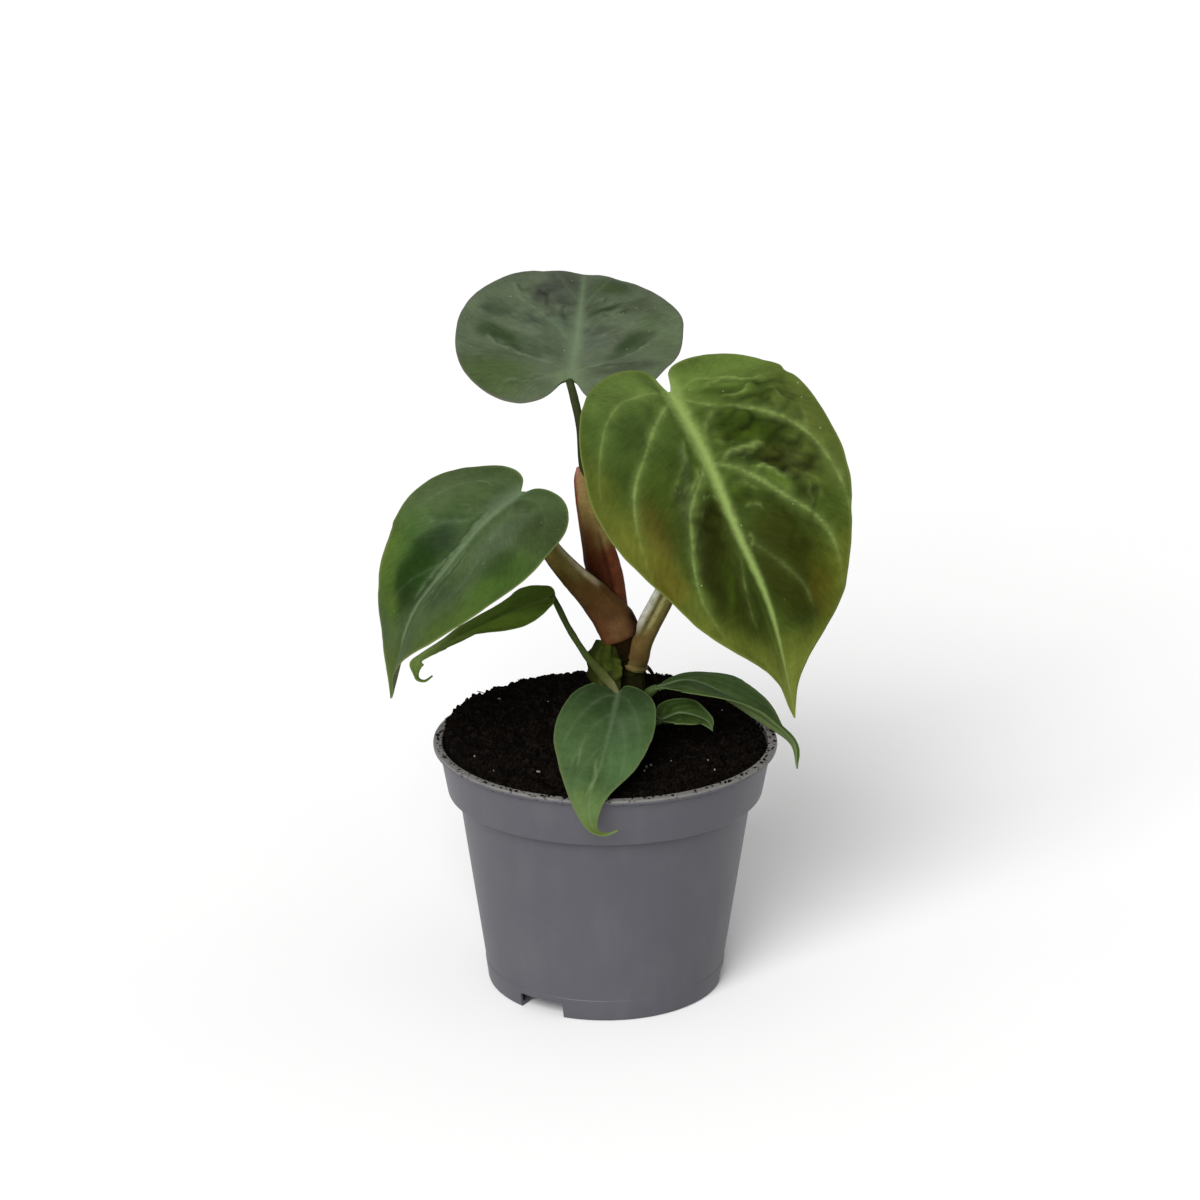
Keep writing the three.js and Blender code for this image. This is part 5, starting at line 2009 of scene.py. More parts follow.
RIGHT_LEAF = Blade(
    "right_leaf", Slot.BRIGHT_LEAF, BRIGHT_LEAF,
    midrib=(
        (21.7, -5.8, 214.9), (32.6, -22.8, 199.1), (43.5, -38.2, 176.3), (55, -47.7, 151),
        (63.3, -49.7, 114.9),
    ),
    half_widths=(44.6, 44.8), outline=Outline(0.275, 0.053, 0.127, 0.021, 0.49, 0.12), roll=(6, 30, 23),
    fold=(11, 4), lift=-0.05, waves=5, pucker=1.6, wave=1.1, ripple=0.7, rib=3.9, rib_light=(1.05, 0.85),
    tints_and_painted_light=(
        Zone(-0.03, 0.55, 0.11, 0.5, 0.9, (78, 120, 27)), Zone(-0.02, -0.5, 0.1, 0.5, 0.9, (80, 125, 25)),
        Zone(0.1, -0.95, 0.2, 0.3, 0.8, (72, 98, 20)), Zone(0.38, -0.98, 0.25, 0.16, 0.75, (50, 62, 13)),
        Zone(0.14, 0.5, 0.12, 0.4, 0.6, (34, 60, 14)), Zone(0.34, 0.45, 0.2, 0.3, 0.7, (28, 43, 5.5)),
        Zone(0.1, 0.97, 0.2, 0.14, 0.7, (52, 72, 12)), Zone(0.34, 0.94, 0.18, 0.16, 0.8, (60, 70, 10)),
        Zone(0.2, -0.34, 0.11, 0.27, 0.5, (30, 45, 5)), Zone(0.3, -0.72, 0.14, 0.13, 0.7, (48, 62, 12)),
        Zone(0.6, -0.3, 0.17, 0.27, 0.95, (17, 21, 2)), Zone(0.43, 0.2, 0.1, 0.2, 0.6, (30, 36, 6)),
        Zone(0.6, 0.24, 0.16, 0.18, 0.95, (16, 21, 2.5)), Zone(0.4, 0.62, 0.09, 0.15, 0.8, (46, 36, 6)),
        Zone(0.58, 0.86, 0.22, 0.3, 1, (85, 90, 12)), Zone(0.76, 0.62, 0.14, 0.3, 1, (85, 100, 14)),
        Zone(0.52, 0.7, 0.07, 0.13, 0.6, (62, 52, 6)), Zone(0.7, -0.44, 0.07, 0.12, 0.6, (50, 36, 3)),
        Zone(0.74, -0.72, 0.18, 0.3, 1, (75, 86, 10)), Zone(0.86, -0.3, 0.09, 0.26, 0.9, (75, 90, 10)),
        Zone(0.86, 0.2, 0.11, 0.3, 0.95, (80, 98, 14)), Zone(1, 0, 0.17, 0.8, 1, (150, 180, 30)),
        Zone(0.06, -0.36, 0.032, 0.154, 0.85, (30, 48, 7), -0.71),
        Zone(0.1, -0.43, 0.015, 0.099, 0.7, (65, 85, 20), -0.79),
        Zone(0.15, -0.75, 0.033, 0.067, 0.6, (50, 68, 14), -0.02),
        Zone(0.2, -0.41, 0.062, 0.23, 1, (20, 34, 3.5), -0.71),
        Zone(0.21, -0.26, 0.04, 0.16, 0.85, (28, 46, 4), -0.78),
        Zone(0.32, -0.5, 0.046, 0.17, 1, (17, 19, 2.5), -0.76),
        Zone(0.27, -0.44, 0.038, 0.143, 0.7, (45, 50, 8), -0.86),
        Zone(0.37, -0.44, 0.038, 0.104, 0.75, (55, 85, 12), -0.74),
        Zone(0.43, -0.64, 0.043, 0.064, 0.8, (28, 38, 6), 0.54),
        Zone(0.36, -0.12, 0.047, 0.127, 0.6, (28, 44, 4), -0.54),
        Zone(0.49, -0.26, 0.077, 0.211, 0.8, (20, 24, 3), -0.16),
        Zone(0.42, 0.18, 0.084, 0.131, 0.95, (14, 16, 2), 0.72),
        Zone(0.32, 0.11, 0.017, 0.063, 0.7, (25, 32, 5), -0.33),
        Zone(0.58, 0.26, 0.072, 0.06, 0.6, (34, 60, 5), 0.38),
        Zone(0.33, 0.31, 0.054, 0.092, 0.5, (40, 50, 20), 0.68),
        Zone(0.51, 0.3, 0.15, 0.17, 1, (12, 15, 2), 0.74),
        Zone(0.4, -0.33, 0.073, 0.142, 0.6, (20, 30, 4), -0.6),
        Zone(0.6, -0.16, 0.12, 0.15, 0.8, (19, 24, 3), 0.05),
        Zone(0.15, -0.16, 0.049, 0.06, 0.7, (50, 74, 16), 0.36),
        Zone(0.24, -0.34, 0.028, 0.109, 0.8, (18, 28, 4), -0.77),
        Zone(0.25, -0.22, 0.017, 0.112, 0.8, (60, 85, 20), -0.63),
        Zone(0.33, -0.59, 0.031, 0.066, 0.8, (44, 56, 12), -0.39),
        Zone(0.16, -0.89, 0.025, 0.086, 0.7, (60, 78, 16), 0.27),
        Zone(0.24, -0.83, 0.043, 0.082, 0.7, (50, 64, 12), 0.09),
        Zone(0.02, -0.5, 0.033, 0.232, 0.7, (70, 105, 20), -0.66),
        Zone(0.23, 0.19, 0.063, 0.077, 0.5, (60, 85, 35), 0.92),
    ),
    folds=(
        Fold(((28, -216), (20, -330), (28, -456), (54, -560), (66, -643), (92, -698)), 0.9, 0.5, 0.5, 1),
        Fold(((80, -285), (81, -370), (95, -450), (86, -534), (63, -616)), 0.7, 0.5, 0.5, -1),
        Fold(((113, -702), (141, -706), (167, -739), (197, -772)), 0.6, 0.5, 0.2, -1),
        Fold(((102, -235), (129, -136), (156, -77), (183, -53)), 1.1, 0.4, 0.4, -1),
        Fold(((193, -43), (198, -122), (217, -196), (224, -271)), 0.7, 0.5, 0.3, -1),
        Fold(((254, -81), (243, -205), (247, -293), (252, -380), (268, -446)), 0.8, 0.8, 0.75, 1),
        Fold(((267, -222), (262, -302), (258, -364)), 0.6, 0.5, 0.4, 1),
        Fold(
            ((302, -260), (311, -361), (328, -412), (347, -457), (362, -506), (372, -554)), 0.7, 0.9, 0.8, -1,
        ),
        Fold(((362, -543), (376, -628), (397, -682), (429, -695), (458, -669)), 0.7, 0.7, 0.25, 1),
        Fold(((389, -619), (419, -623), (456, -604), (469, -556)), 0.6, 0.6, 0.3, -1),
        Fold(((397, -105), (401, -177), (410, -234), (427, -248)), 0.7, 0.6, 0.45, 1),
        Fold(((327, -112), (331, -178), (357, -236), (372, -301)), 0.7, 0.4, 0.3, 1),
        Fold(((203, -818), (238, -794), (256, -728)), 0.8, 0.4, 0.35, 1),
        Fold(((246, 73), (279, 126), (302, 192), (314, 268)), 0.8, 0.7, 0.6, -1),
        Fold(((148, 87), (207, 151), (259, 243), (289, 336), (320, 388)), 1.1, 0.6, 0.35, -1),
        Fold(((293, 374), (304, 300), (300, 210)), 0.6, 0.7, 0.3, 1),
        Fold(((341, 166), (339, 89), (347, 23)), 0.6, 0.7, 0.55, -1),
        Fold(((350, 167), (383, 200), (412, 276), (446, 338), (485, 390)), 0.6, 0.7, 0.15, -1),
        Fold(((468, -68), (491, -81), (508, -46)), 0.6, 0.5, 0.6, 1),
    ),
    veins=(
        (
            Vein(
                (
                    (0.01, 0.05), (0, 0.22), (0.01, 0.43), (0.04, 0.58), (0.09, 0.71), (0.19, 0.86),
                    (0.3, 0.93),
                ),
                0.7,
            ),
            Vein(((0.03, 0.05), (0.08, 0.22), (0.16, 0.42), (0.25, 0.61), (0.35, 0.71), (0.5, 0.78)), 1),
            Vein(((0.25, 0.04), (0.36, 0.27), (0.43, 0.35), (0.54, 0.47), (0.62, 0.5), (0.76, 0.43)), 0.9),
            Vein(((0.5, 0.03), (0.62, 0.16), (0.76, 0.22)), 0.3),
        ),
        (
            Vein(((0.01, 0.05), (-0.01, 0.21), (0.01, 0.35), (0.04, 0.55)), 0.5),
            Vein(
                (
                    (0.03, 0.05), (0.08, 0.2), (0.15, 0.49), (0.22, 0.68), (0.3, 0.8), (0.43, 0.86),
                    (0.6, 0.84),
                ),
                0.95,
            ),
            Vein(((0.25, 0.03), (0.3, 0.21), (0.38, 0.38), (0.5, 0.59), (0.6, 0.64), (0.72, 0.58)), 1),
            Vein(((0.47, 0.03), (0.56, 0.17), (0.66, 0.3), (0.78, 0.34)), 0.22),
        ),
    ),
    dents=(
        Dent(Half.LEFT, 0.39, 0.08, 2.5), Dent(Half.LEFT, 0.335, 0.012, 1), Dent(Half.LEFT, 0.74, 0.07, -2.8),
        Dent(Half.LEFT, 0.87, 0.05, 0.8), Dent(Half.RIGHT, 0.58, 0.12, 3.9),
        Dent(Half.RIGHT, 0.79, 0.08, 3.6), Dent(Half.RIGHT, 0.87, 0.04, 0.8),
    ),
    creases=(
        Zone(0.26, -0.4, 0.16, 0.32, 1), Zone(0.12, -0.66, 0.09, 0.2, 0.7), Zone(0.36, 0.22, 0.12, 0.16, 0.8),
        Zone(0.36, -0.68, 0.12, 0.14, 0.7), Zone(0.55, -0.5, 0.12, 0.2, 0.3),
    ),
    grid=(210, 76),
)
LEFT_LEAF = Blade(
    "left_leaf", Slot.DARK_LEAF, DEEP_LEAF,
    midrib=(
        (-28.4, -7.5, 180.8), (-41.7, -17.1, 172.1), (-52.9, -23.9, 159.9), (-65.7, -27.8, 142.8),
        (-73, -28, 114),
    ),
    half_widths=(30, 36.3), outline=Outline(0.315, 0.013, 0.108, 0.021, 0.5, 0.064), roll=(-10, -17, -14),
    fold=(5, 16), waves=5, pucker=0.8, wave=0.5, ripple=0.4, rib=2.6, rib_light=(1, 0.5),
    tints_and_painted_light=(
        Zone(0.2, 0.78, 0.16, 0.25, 0.7, (55, 78, 32)), Zone(0.5, 0.72, 0.22, 0.22, 0.8, (34, 76, 14)),
        Zone(0.45, 0.3, 0.22, 0.24, 1, (14, 36, 7)), Zone(0.62, 0.3, 0.14, 0.2, 0.8, (14, 30, 6)),
        Zone(0.7, 0.9, 0.3, 0.3, 0.9, (55, 85, 14)), Zone(0.9, 0, 0.13, 0.6, 0.85, (52, 77, 16)),
        Zone(0.12, -0.72, 0.12, 0.35, 0.8, (28, 40, 13)), Zone(0.22, -0.32, 0.16, 0.16, 0.8, (56, 78, 40)),
        Zone(0.42, -0.8, 0.2, 0.25, 0.9, (40, 78, 12)), Zone(0.5, -0.38, 0.14, 0.16, 0.7, (30, 48, 20)),
        Zone(0.66, -0.75, 0.2, 0.3, 0.8, (50, 80, 14)),
        Zone(0.35, 0.28, 0.09, 0.216, 0.9, (20, 33, 15), 0.42),
        Zone(0.53, 0.29, 0.104, 0.202, 0.95, (12, 34, 5), -0.19),
        Zone(0.62, 0.17, 0.052, 0.122, 0.7, (12, 22, 6), 0.03),
        Zone(0.06, -0.15, 0.051, 0.248, 0.7, (30, 45, 14), 0.77),
        Zone(0.04, 0.16, 0.028, 0.087, 0.5, (28, 40, 15), 0.12),
        Zone(0.34, -0.69, 0.085, 0.168, 0.6, (40, 80, 12), 0.13),
        Zone(0.52, -0.61, 0.082, 0.157, 0.5, (34, 50, 20), -0.16),
        Zone(0.48, 0.34, 0.127, 0.269, 0.8, (11, 27, 4), 0.14),
        Zone(0.31, -0.56, 0.083, 0.201, 0.7, (20, 37, 10), -0.02),
        Zone(0.65, 0.44, 0.102, 0.225, 0.8, (52, 88, 13), -0.71),
        Zone(0.11, 0.07, 0.12, 0.105, 0.7, (72, 102, 56), -0.51),
    ),
    folds=(
        Fold(((420, -20), (550, -20), (680, 0), (800, 0), (900, 0)), 1.1, 0.1, 0.55, 1),
        Fold(((300, -60), (400, -80), (500, -100), (620, -120)), 0.7, 0.1, 0.6, -1),
        Fold(((101, 88), (198, 62), (285, 48), (377, 43), (457, 29), (534, 11)), 0.5, 0.25, 0.7, 1),
        Fold(((291, -34), (336, 37), (399, 77), (454, 81)), 0.45, 0.3, 0.8, 1),
        Fold(((262, -119), (346, -124), (442, -173), (535, -232), (604, -312)), 0.5, 0.25, 0.4, 1),
        Fold(((391, 97), (469, 93), (545, 79), (623, 51)), 0.6, 0.2, 0.5, -1),
        Fold(((78, -117), (73, -255), (45, -333)), 0.6, 0.4, -0.4, 1),
        Fold(((204, 447), (182, 272), (204, 269)), 0.5, 0.4, 0.4, 1),
        Fold(((79, 522), (56, 424), (53, 312)), 0.5, 0.3, 0.4, 1),
        Fold(((316, 686), (288, 441), (244, 217), (201, 92)), 1.1, 0.3, 0.35, -1),
    ),
    dents=(
        Dent(Half.RIGHT, 0.435, 0.04, 0.9), Dent(Half.RIGHT, 0.63, 0.035, 2.1),
        Dent(Half.RIGHT, 0.77, 0.06, -1.6), Dent(Half.LEFT, 0.46, 0.07, 1.6),
        Dent(Half.LEFT, 0.71, 0.04, 1.2), Dent(Half.LEFT, 0.9, 0.05, 1.5), Dent(Half.LEFT, 0.96, 0.03, 0.8),
    ),
    veins=(
        (
            Vein(((0.02, 0.05), (0.03, 0.35), (0.12, 0.6), (0.25, 0.75), (0.43, 0.88)), 0.5),
            Vein(((0.12, 0.04), (0.22, 0.2), (0.32, 0.45), (0.45, 0.68)), 0.4),
            Vein(((0.4, 0.03), (0.54, 0.25), (0.7, 0.4)), 0.3),
        ),
        (
            Vein(((0.03, 0.05), (0.02, 0.3), (0.08, 0.6), (0.2, 0.8)), 0.4),
            Vein(((0.06, 0.05), (0.15, 0.2), (0.33, 0.31), (0.45, 0.42), (0.62, 0.42)), 0.6),
            Vein(((0.36, 0.03), (0.52, 0.16), (0.7, 0.24)), 0.3),
        ),
    ),
    grid=(150, 56),
)
FRONT_LEAF = Blade(
    "front_leaf", Slot.YOUNG_LEAF, YOUNG_LEAF,
    midrib=(
        (4.4, -8.2, 109.4), (1.8, -25.6, 103.4), (-1.5, -44.8, 97.2), (-5.2, -61.6, 91.6), (-4.6, -69, 84.4),
        (-0.6, -71.8, 82.4), (4.2, -72.4, 84.2),
    ),
    half_widths=(18.4, 15.4), outline=Outline(0.28, 0.024, 0.061, 0.018, 0.38, 0.3), roll=(-4, -1, 9),
    fold=(5, -2), pucker=0.5, wave=0.5, rib=1.3, rib_light=(0.45, 0.25),
    tints_and_painted_light=(
        Zone(0, 0, 0.28, 1.2, 0.9, (18, 34, 11)), Zone(0.3, -0.3, 0.16, 0.4, 0.7, (50, 86, 40)),
        Zone(0.4, 0.1, 0.2, 0.25, 0.5, (44, 78, 28)), Zone(0.55, -0.5, 0.2, 0.4, 0.6, (62, 120, 42)),
        Zone(0.78, 0.1, 0.1, 0.4, 0.6, (80, 118, 36)), Zone(0.97, 0, 0.1, 0.9, 0.9, (110, 135, 22)),
        Zone(0.6, 0.06, 0.12, 0.035, 0.9, (120, 180, 75)),
        Zone(0.46, 0.42, 0.09, 0.03, 0.6, (100, 150, 65), 0.4),
    ),
    folds=(Fold(((380, 450), (500, 420), (600, 360)), 0.5, 0.15, 0.4, 1),),
    veins=(arched(0.6), arched(0.6)),
    grid=(120, 34),
)
LOWER_RIGHT_LEAF = Blade(
    "lower_right_leaf", Slot.YOUNG_LEAF, YOUNG_LEAF,
    midrib=(
        (17.3, 1.4, 107.7), (29.5, 1.6, 110.2), (42.6, -6, 107), (56.8, -12, 98.9), (64.6, -17, 93.4),
        (66.4, -18.6, 84.8),
    ),
    half_widths=(14.4, 11.6), outline=Outline(0.36, 0.01, -0.14, 0.02, 0.42, 0.16), roll=(3, -6, -14),
    fold=(-14, 48),
    dents=(Dent(Half.LEFT, 0.74, 0.09, 3.2),),
    rib=0.9,
    tints_and_painted_light=(
        Zone(0.05, 0.3, 0.34, 1.4, 0.95, (19, 35, 7)), Zone(0.3, 0.8, 0.3, 0.3, 0.6, (50, 78, 16)),
        Zone(0.5, -0.45, 0.3, 0.4, 0.7, (34, 60, 14)), Zone(0.9, 0, 0.2, 0.8, 0.7, (75, 110, 28)),
    ),
    veins=(arched(0.5), arched(0.5)),
)
LOWER_LEFT_LEAF = Blade(
    "lower_left_leaf", Slot.YOUNG_LEAF, OLIVE_LEAF,
    midrib=(
        (-18.1, 6.2, 139.1), (-34.6, 7.6, 132.2), (-52.7, 13.3, 121), (-65.2, 14.7, 113), (-66, 10.2, 108.4),
        (-63.4, 9.4, 107), (-60.6, 10.2, 108.6),
    ),
    half_widths=(15.4, 18.1), outline=Outline(0.34, 0.01, 0.01, 0.02, 0.4, 0.31), roll=(-11, -1, 1),
    fold=(3, 7), wave=0.6, rib=0.7,
    dents=(
        Dent(Half.RIGHT, 0.38, 0.09, -2.6), Dent(Half.RIGHT, 0.68, 0.07, 2.4),
        Dent(Half.LEFT, 0.2, 0.06, 2.6), Dent(Half.LEFT, 0.35, 0.06, -3), Dent(Half.LEFT, 0.7, 0.06, 1.8),
        Dent(Half.LEFT, 0.88, 0.07, 0.9), Dent(Half.RIGHT, 0.88, 0.07, 0.9),
    ),
    # Its brightest zones are partly painted light, lifting a blade that turns away from the key light.
    tints_and_painted_light=(
        Zone(0.2, 0.5, 0.3, 0.4, 0.6, (72, 122, 16)), Zone(0.24, -0.65, 0.16, 0.4, 0.9, (180, 280, 36)),
        Zone(0.5, 0, 0.14, 0.6, 0.5, (80, 125, 24)), Zone(0.55, -0.7, 0.2, 0.45, 0.75, (150, 220, 45)),
        Zone(0.75, 0, 0.16, 0.8, 0.8, (140, 190, 58)), Zone(0.97, 0, 0.05, 0.9, 0.8, (30, 40, 12)),
    ),
    veins=(arched(0.5), arched(0.5)),
    grid=(130, 30),
)
SMALL_LEAF = Blade(
    "small_leaf", Slot.YOUNG_LEAF, YOUNG_LEAF,
    midrib=((19.6, -7.6, 98.8), (25, -5, 100.2), (30.3, -6.5, 100.2), (35.2, -8, 98.4), (37.1, -12, 96.4)),
    half_widths=(11.7, 6.5), outline=Outline(0.3, 0.02, 0.06, 0.02, 0.475, 0.224), roll=(8, 15, 11),
    fold=(18, 13), waves=3, pucker=0.3, wave=0.3, ripple=0.2, rib=0.8,
    tints_and_painted_light=(
        Zone(0.3, 0, 0.6, 2, 1, (20, 40, 6)), Zone(0.8, 0.5, 0.25, 0.5, 0.9, (50, 75, 16)),
        Zone(0.3, -0.6, 0.2, 0.3, 0.6, (14, 26, 4)), Zone(0.3, 0.8, 0.4, 0.2, 0.7, (42, 70, 14)),
    ),
    veins=(arched(0.5), arched(0.5)),
    grid=(80, 22),
)
BLADES = (TOP_LEAF, RIGHT_LEAF, LEFT_LEAF, FRONT_LEAF, LOWER_RIGHT_LEAF, LOWER_LEFT_LEAF, SMALL_LEAF)

STEM = Stalk(
    "stem", Slot.STEM, STEM_SKIN,
    path=(
        (11, 5, 56), (10.6, 3.6, 84), (10, 3, 104), (9.4, 3, 112), (8, 2.6, 119), (6.6, 2.2, 125),
        (5.4, 2, 130),
    ),
    across=(2.4, 4.7, 4.2, 4, 4.1, 4.2, 4),
    through=(2.4, 4.7, 4.3, 4.2, 4.3, 4.2, 3.6),
    # The stem's near-black tones are partly its own dark colour and partly painted shade, darkest where it
    # runs between the petiole bases.
    tones=((8, 8, 3), (8, 8, 3), (9, 9, 3), (9, 9, 3), (5, 4, 1.5), (10, 5, 2), (20, 8, 3)),
    rings=(0.52, 0.66), flutes=0.1, lumps=0.3,
)
LEFT_PETIOLE = Stalk(
    "left_petiole", Slot.RED_PETIOLE, STALK_SKIN,
    path=(
        (5.4, 1.9, 126), (3.2, 1.6, 131.4), (-3.6, 1.6, 140.1), (-11.9, 1, 149), (-18.4, 0, 157.4),
        (-24.6, -1.2, 168), (-28.2, -3.6, 176.8), (-28.2, -6.4, 179.4),
    ),
    across=(6.9, 7.2, 5.7, 4.3, 3.6, 2.9, 2.2, 1.5),
    through=(4.9, 4.9, 4.4, 3.8, 3.2, 2.6, 2, 1.2),
    tones=(
        (50, 20, 8), (62, 30, 11), (56, 27, 8), (62, 37, 7), (155, 122, 30), (210, 190, 58), (55, 60, 17),
        (70, 90, 30),
    ),
    strokes=(
        Stroke(0.82, 0.07, 0.4, 0.95, (120, 100, 30), 0.7),
        Stroke(0.935, 0.055, 0.34, 0.92, (340, 300, 190), 0.9, 0.4),
        # The near-black band at the foot's right side, in the line below, is painted shade.
        Stroke(0.99, 0.03, 0.3, 0.92, (140, 125, 75), 0.8), Stroke(0.94, 0.1, -0.1, 0.2, (12, 5, 2), 0.9),
        # The copper band on the front of the foot, in the line below, is a painted highlight.
        Stroke(0.6, 0.09, -0.2, 0.3, (85, 30, 11), 0.75), Stroke(0.76, 0.1, 0.02, 0.2, (110, 60, 24), 0.6),
        Stroke(0.74, 0.16, -0.2, 0.03, (85, 30, 12), 0.7), Stroke(0.54, 0.05, 0.1, 0.95, (26, 12, 4), 0.8),
    ),
    bulge=1.3,
)
RIGHT_PETIOLE = Stalk(
    "right_petiole", Slot.PALE_PETIOLE, PALE_SKIN,
    path=(
        (10.3, 1.2, 114.4), (11.3, 0.9, 119), (13.2, 1, 126), (19.4, 2.8, 138), (26, 5, 152), (29.6, 7, 172),
        (28.6, 6.4, 194), (25.4, 2.4, 208), (21.8, -5.4, 214.2),
    ),
    across=(4, 4.1, 3.9, 3.7, 3.4, 3, 2.6, 2.2, 1.6),
    through=(4, 4.2, 3.8, 3.5, 3.1, 2.8, 2.4, 2, 1.3),
    tones=(
        (70, 66, 18), (62, 36, 12), (90, 60, 18), (135, 120, 36), (150, 138, 40), (70, 90, 20), (70, 90, 25),
        (90, 120, 35), (150, 200, 70),
    ),
    strokes=(
        Stroke(0.56, 0.08, 0.28, 0.7, (460, 460, 400), 0.9, 0.8),
        Stroke(0.68, 0.025, 0.26, 0.7, (50, 45, 12), 0.8), Stroke(0.74, 0.03, 0.3, 0.7, (300, 280, 130), 0.6),
        Stroke(0.96, 0.12, 0.14, 0.7, (70, 52, 12), 0.9), Stroke(0.88, 0.02, 0.16, 0.7, (40, 26, 7), 0.6),
        Stroke(0.66, 0.1, -0.1, 0.13, (100, 66, 24), 0.7), Stroke(0.9, 0.08, 0.02, 0.15, (30, 18, 5), 0.6),
    ),
    rings=(0.03,),
)
TOP_PETIOLE = Stalk(
    "top_petiole", Slot.GREEN_PETIOLE, STALK_SKIN,
    path=(
        (6.6, 7.4, 121), (4.6, 8.2, 133), (1.2, 8, 145), (-2.6, 7.4, 158), (-5.8, 6.4, 172), (-7.8, 6, 187),
        (-8.6, 8, 199), (-10.6, 12.4, 208), (-12.3, 17.9, 212.9),
    ),
    across=(1.3, 1.3, 1.3, 1.3, 1.3, 1.4, 1.4, 1.5, 1.3),
    through=(1.3, 1.3, 1.3, 1.3, 1.3, 1.4, 1.4, 1.5, 1.3),
    tones=((30, 38, 10), (24, 30, 9), (16, 19, 6), (30, 38, 14)),
    grid=(120, 24), flutes=0.03, lumps=0.05,
)
TOP_SHEATH = Stalk(
    "top_sheath", Slot.RED_SHEATH, SHEATH_SKIN,
    path=(
        (4.2, 7, 123), (2.4, 8, 133), (0.2, 7.8, 145), (-1.7, 7.2, 153), (-3.7, 6.8, 162), (-6.4, 6.4, 173),
        (-8.3, 6, 181), (-9.1, 5.9, 185.4),
    ),
    across=(4.8, 5.6, 6.2, 6, 5, 3.8, 2.5, 0.9),
    through=(4.4, 4.4, 4.2, 4, 3.6, 3, 2.3, 0.8),
    # The dark lower tones are partly the sheath's own dark red-brown and partly painted shade on its left
    # part, behind the left petiole.
    tones=(
        (16, 5, 2), (18, 5, 2), (22, 6, 2), (35, 9, 3), (62, 26, 8), (150, 110, 35), (190, 110, 50),
        (210, 90, 70),
    ),
    strokes=(
        Stroke(0.94, 0.15, -0.1, 0.62, (110, 32, 13), 0.95), Stroke(0.86, 0.1, 0.5, 1, (180, 135, 45), 0.8),
        Stroke(0.8, 0.02, 0.05, 0.62, (18, 5, 2), 0.6, -0.25),
        Stroke(0.56, 0.06, 0.62, 0.98, (100, 12, 8), 0.8), Stroke(0.5, 0.05, 0.2, 0.7, (20, 6, 3), 0.7),
    ),
)
FRONT_PETIOLE = Stalk(
    "front_petiole", Slot.GREEN_PETIOLE, STALK_SKIN,
    path=((0.8, 1.2, 123.6), (-0.4, -0.8, 119.8), (-0.2, -3, 115), (1, -5, 110.6), (2.4, -6.6, 106.6)),
    across=(3.4, 5.3, 5.7, 4.6, 2.6),
    through=(1.4, 2, 2.3, 2, 1.2),
    tones=((20, 24, 3), (15, 19, 3), (14, 17, 2.5), (18, 22, 4), (30, 36, 9)),
    strokes=(
        Stroke(0.6, 0.08, 0.3, 0.75, (36, 48, 8), 0.8, 0.9),
        Stroke(0.57, 0.04, 0.45, 0.7, (70, 88, 14), 0.6, 0.4),
        Stroke(0, 0.12, -0.2, 1.2, (7, 8, 2), 0.8, 0.2), Stroke(0.72, 0.05, -0.1, 0.6, (28, 42, 5), 0.8, 0.9),
        Stroke(0.82, 0.03, 0.1, 0.9, (30, 42, 6), 0.6, 0.6),
        Stroke(0.9, 0.05, 0, 0.7, (12, 16, 2), 0.7, -0.3),
    ),
    lumps=1.1,
)
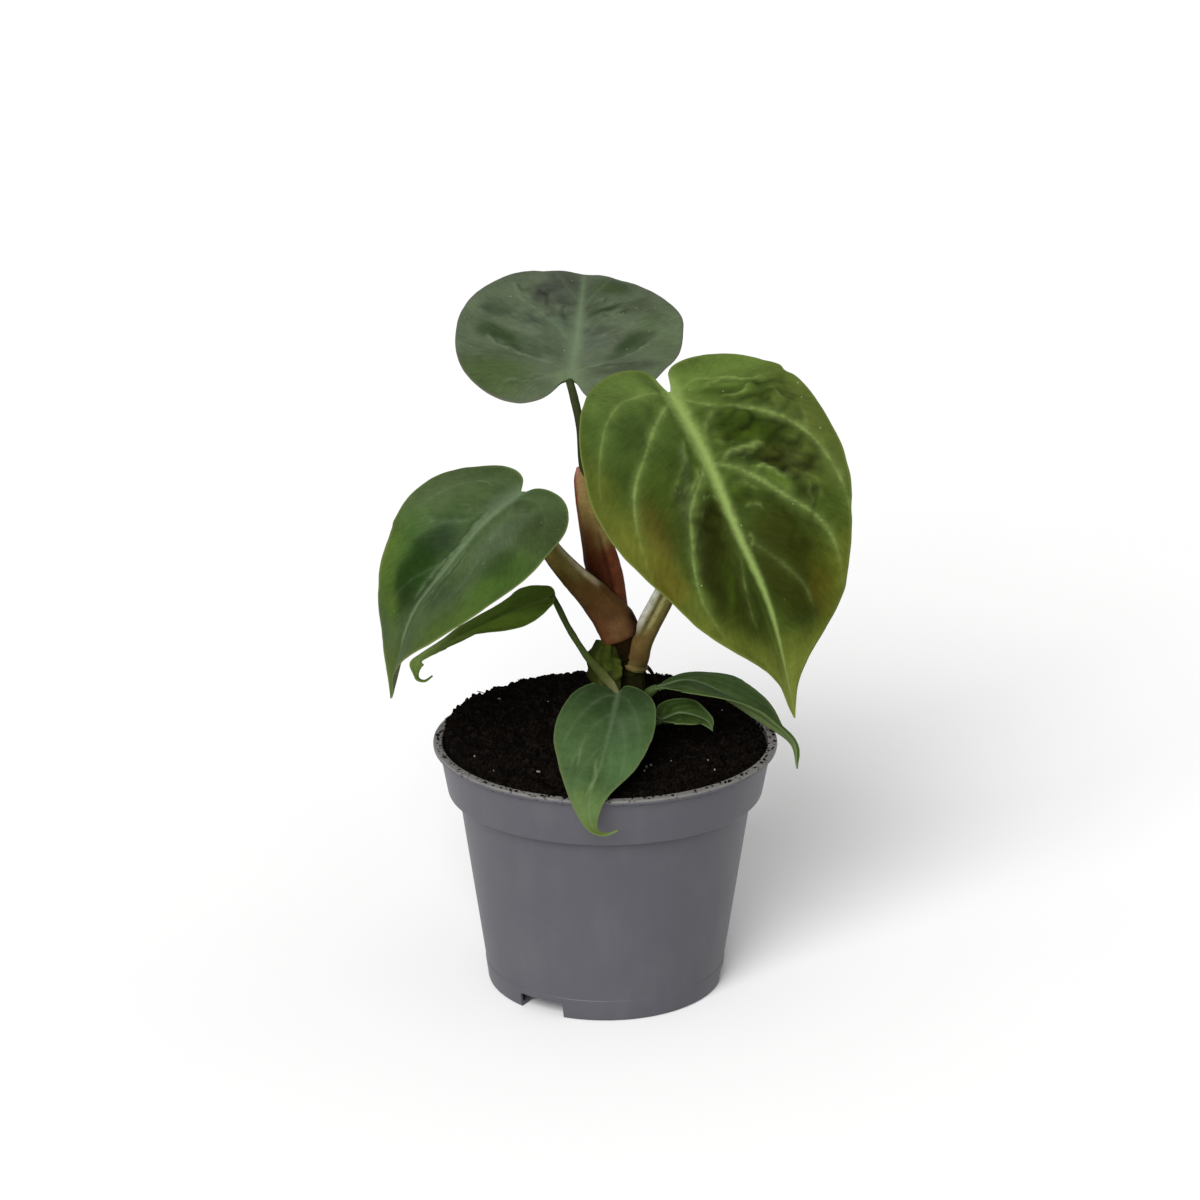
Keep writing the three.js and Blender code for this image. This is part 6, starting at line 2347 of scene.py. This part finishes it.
LOWER_LEFT_PETIOLE = Stalk(
    "lower_left_petiole", Slot.GREEN_PETIOLE, STALK_SKIN,
    path=(
        (4.2, -8.6, 109), (2.2, -7.6, 111.4), (-0.4, -6.4, 114), (-3.2, -5, 117), (-7, -2.4, 121),
        (-12.5, 1.8, 128.6), (-16.5, 4.8, 136), (-18.4, 6.4, 139.2),
    ),
    across=(0.8, 1.5, 1.8, 1.6, 1.2, 1.1, 1.1, 1),
    through=(0.5, 0.7, 0.8, 1, 1.1, 1.1, 1.1, 0.9),
    tones=(
        (130, 125, 60), (85, 88, 34), (50, 56, 15), (34, 46, 10), (35, 55, 12), (35, 55, 12), (35, 55, 12),
        (45, 70, 18),
    ),
    grid=(110, 24), flutes=0.04,
)
LOWER_RIGHT_PETIOLE = Stalk(
    "lower_right_petiole", Slot.GREEN_PETIOLE, STALK_SKIN,
    path=((12.6, 2, 102.6), (15.4, 1.6, 105.4), (17.9, 1.4, 107.2)),
    across=(2, 1.8, 1.2),
    through=(1.8, 1.6, 0.9),
    tones=((20, 30, 8), (35, 50, 14), (50, 80, 30)),
    grid=(30, 24), flutes=0.03, lumps=0.05,
)
SMALL_PETIOLE = Stalk(
    "small_petiole", Slot.GREEN_PETIOLE, STALK_SKIN,
    path=((12.6, 0, 94.6), (16, -4.4, 96), (19.6, -7.5, 98)),
    across=(1.6, 1.4, 0.9),
    through=(1.5, 1.3, 0.8),
    tones=((20, 30, 8), (35, 50, 14), (50, 80, 30)),
    grid=(30, 24), flutes=0.03, lumps=0.05,
)
AERIAL_ROOT = Stalk(
    "aerial_root", Slot.ROOT, ROOT_SKIN,
    path=((12.4, 5.4, 114.4), (14.8, 9, 111.8), (16.9, 13.4, 107.2), (18.5, 17.4, 100), (19.2, 19.4, 88)),
    across=(0.9, 0.7, 0.55, 0.5, 0.4),
    through=(0.9, 0.7, 0.55, 0.5, 0.4),
    tones=((12, 10, 5), (7, 6, 4)),
    grid=(80, 16), flutes=0.02, lumps=0.12,
)
STALKS = (
    STEM, LEFT_PETIOLE, RIGHT_PETIOLE, TOP_PETIOLE, TOP_SHEATH, FRONT_PETIOLE, LOWER_LEFT_PETIOLE,
    LOWER_RIGHT_PETIOLE, SMALL_PETIOLE, AERIAL_ROOT,
)


def main() -> None:
    """Builds and dresses the plant, its pot and the studio."""
    logging.basicConfig(level=logging.INFO, format="%(message)s")
    Studio().build()
    pot = Pot(GREY_PLASTIC)
    pot.build()
    Soil(PEAT, CRUMB, FIBRE, GRAIN, pot).build()
    for stalk in STALKS:
        stalk.build()
    for blade in BLADES:
        blade.build()


if __name__ == "__main__":
    main()
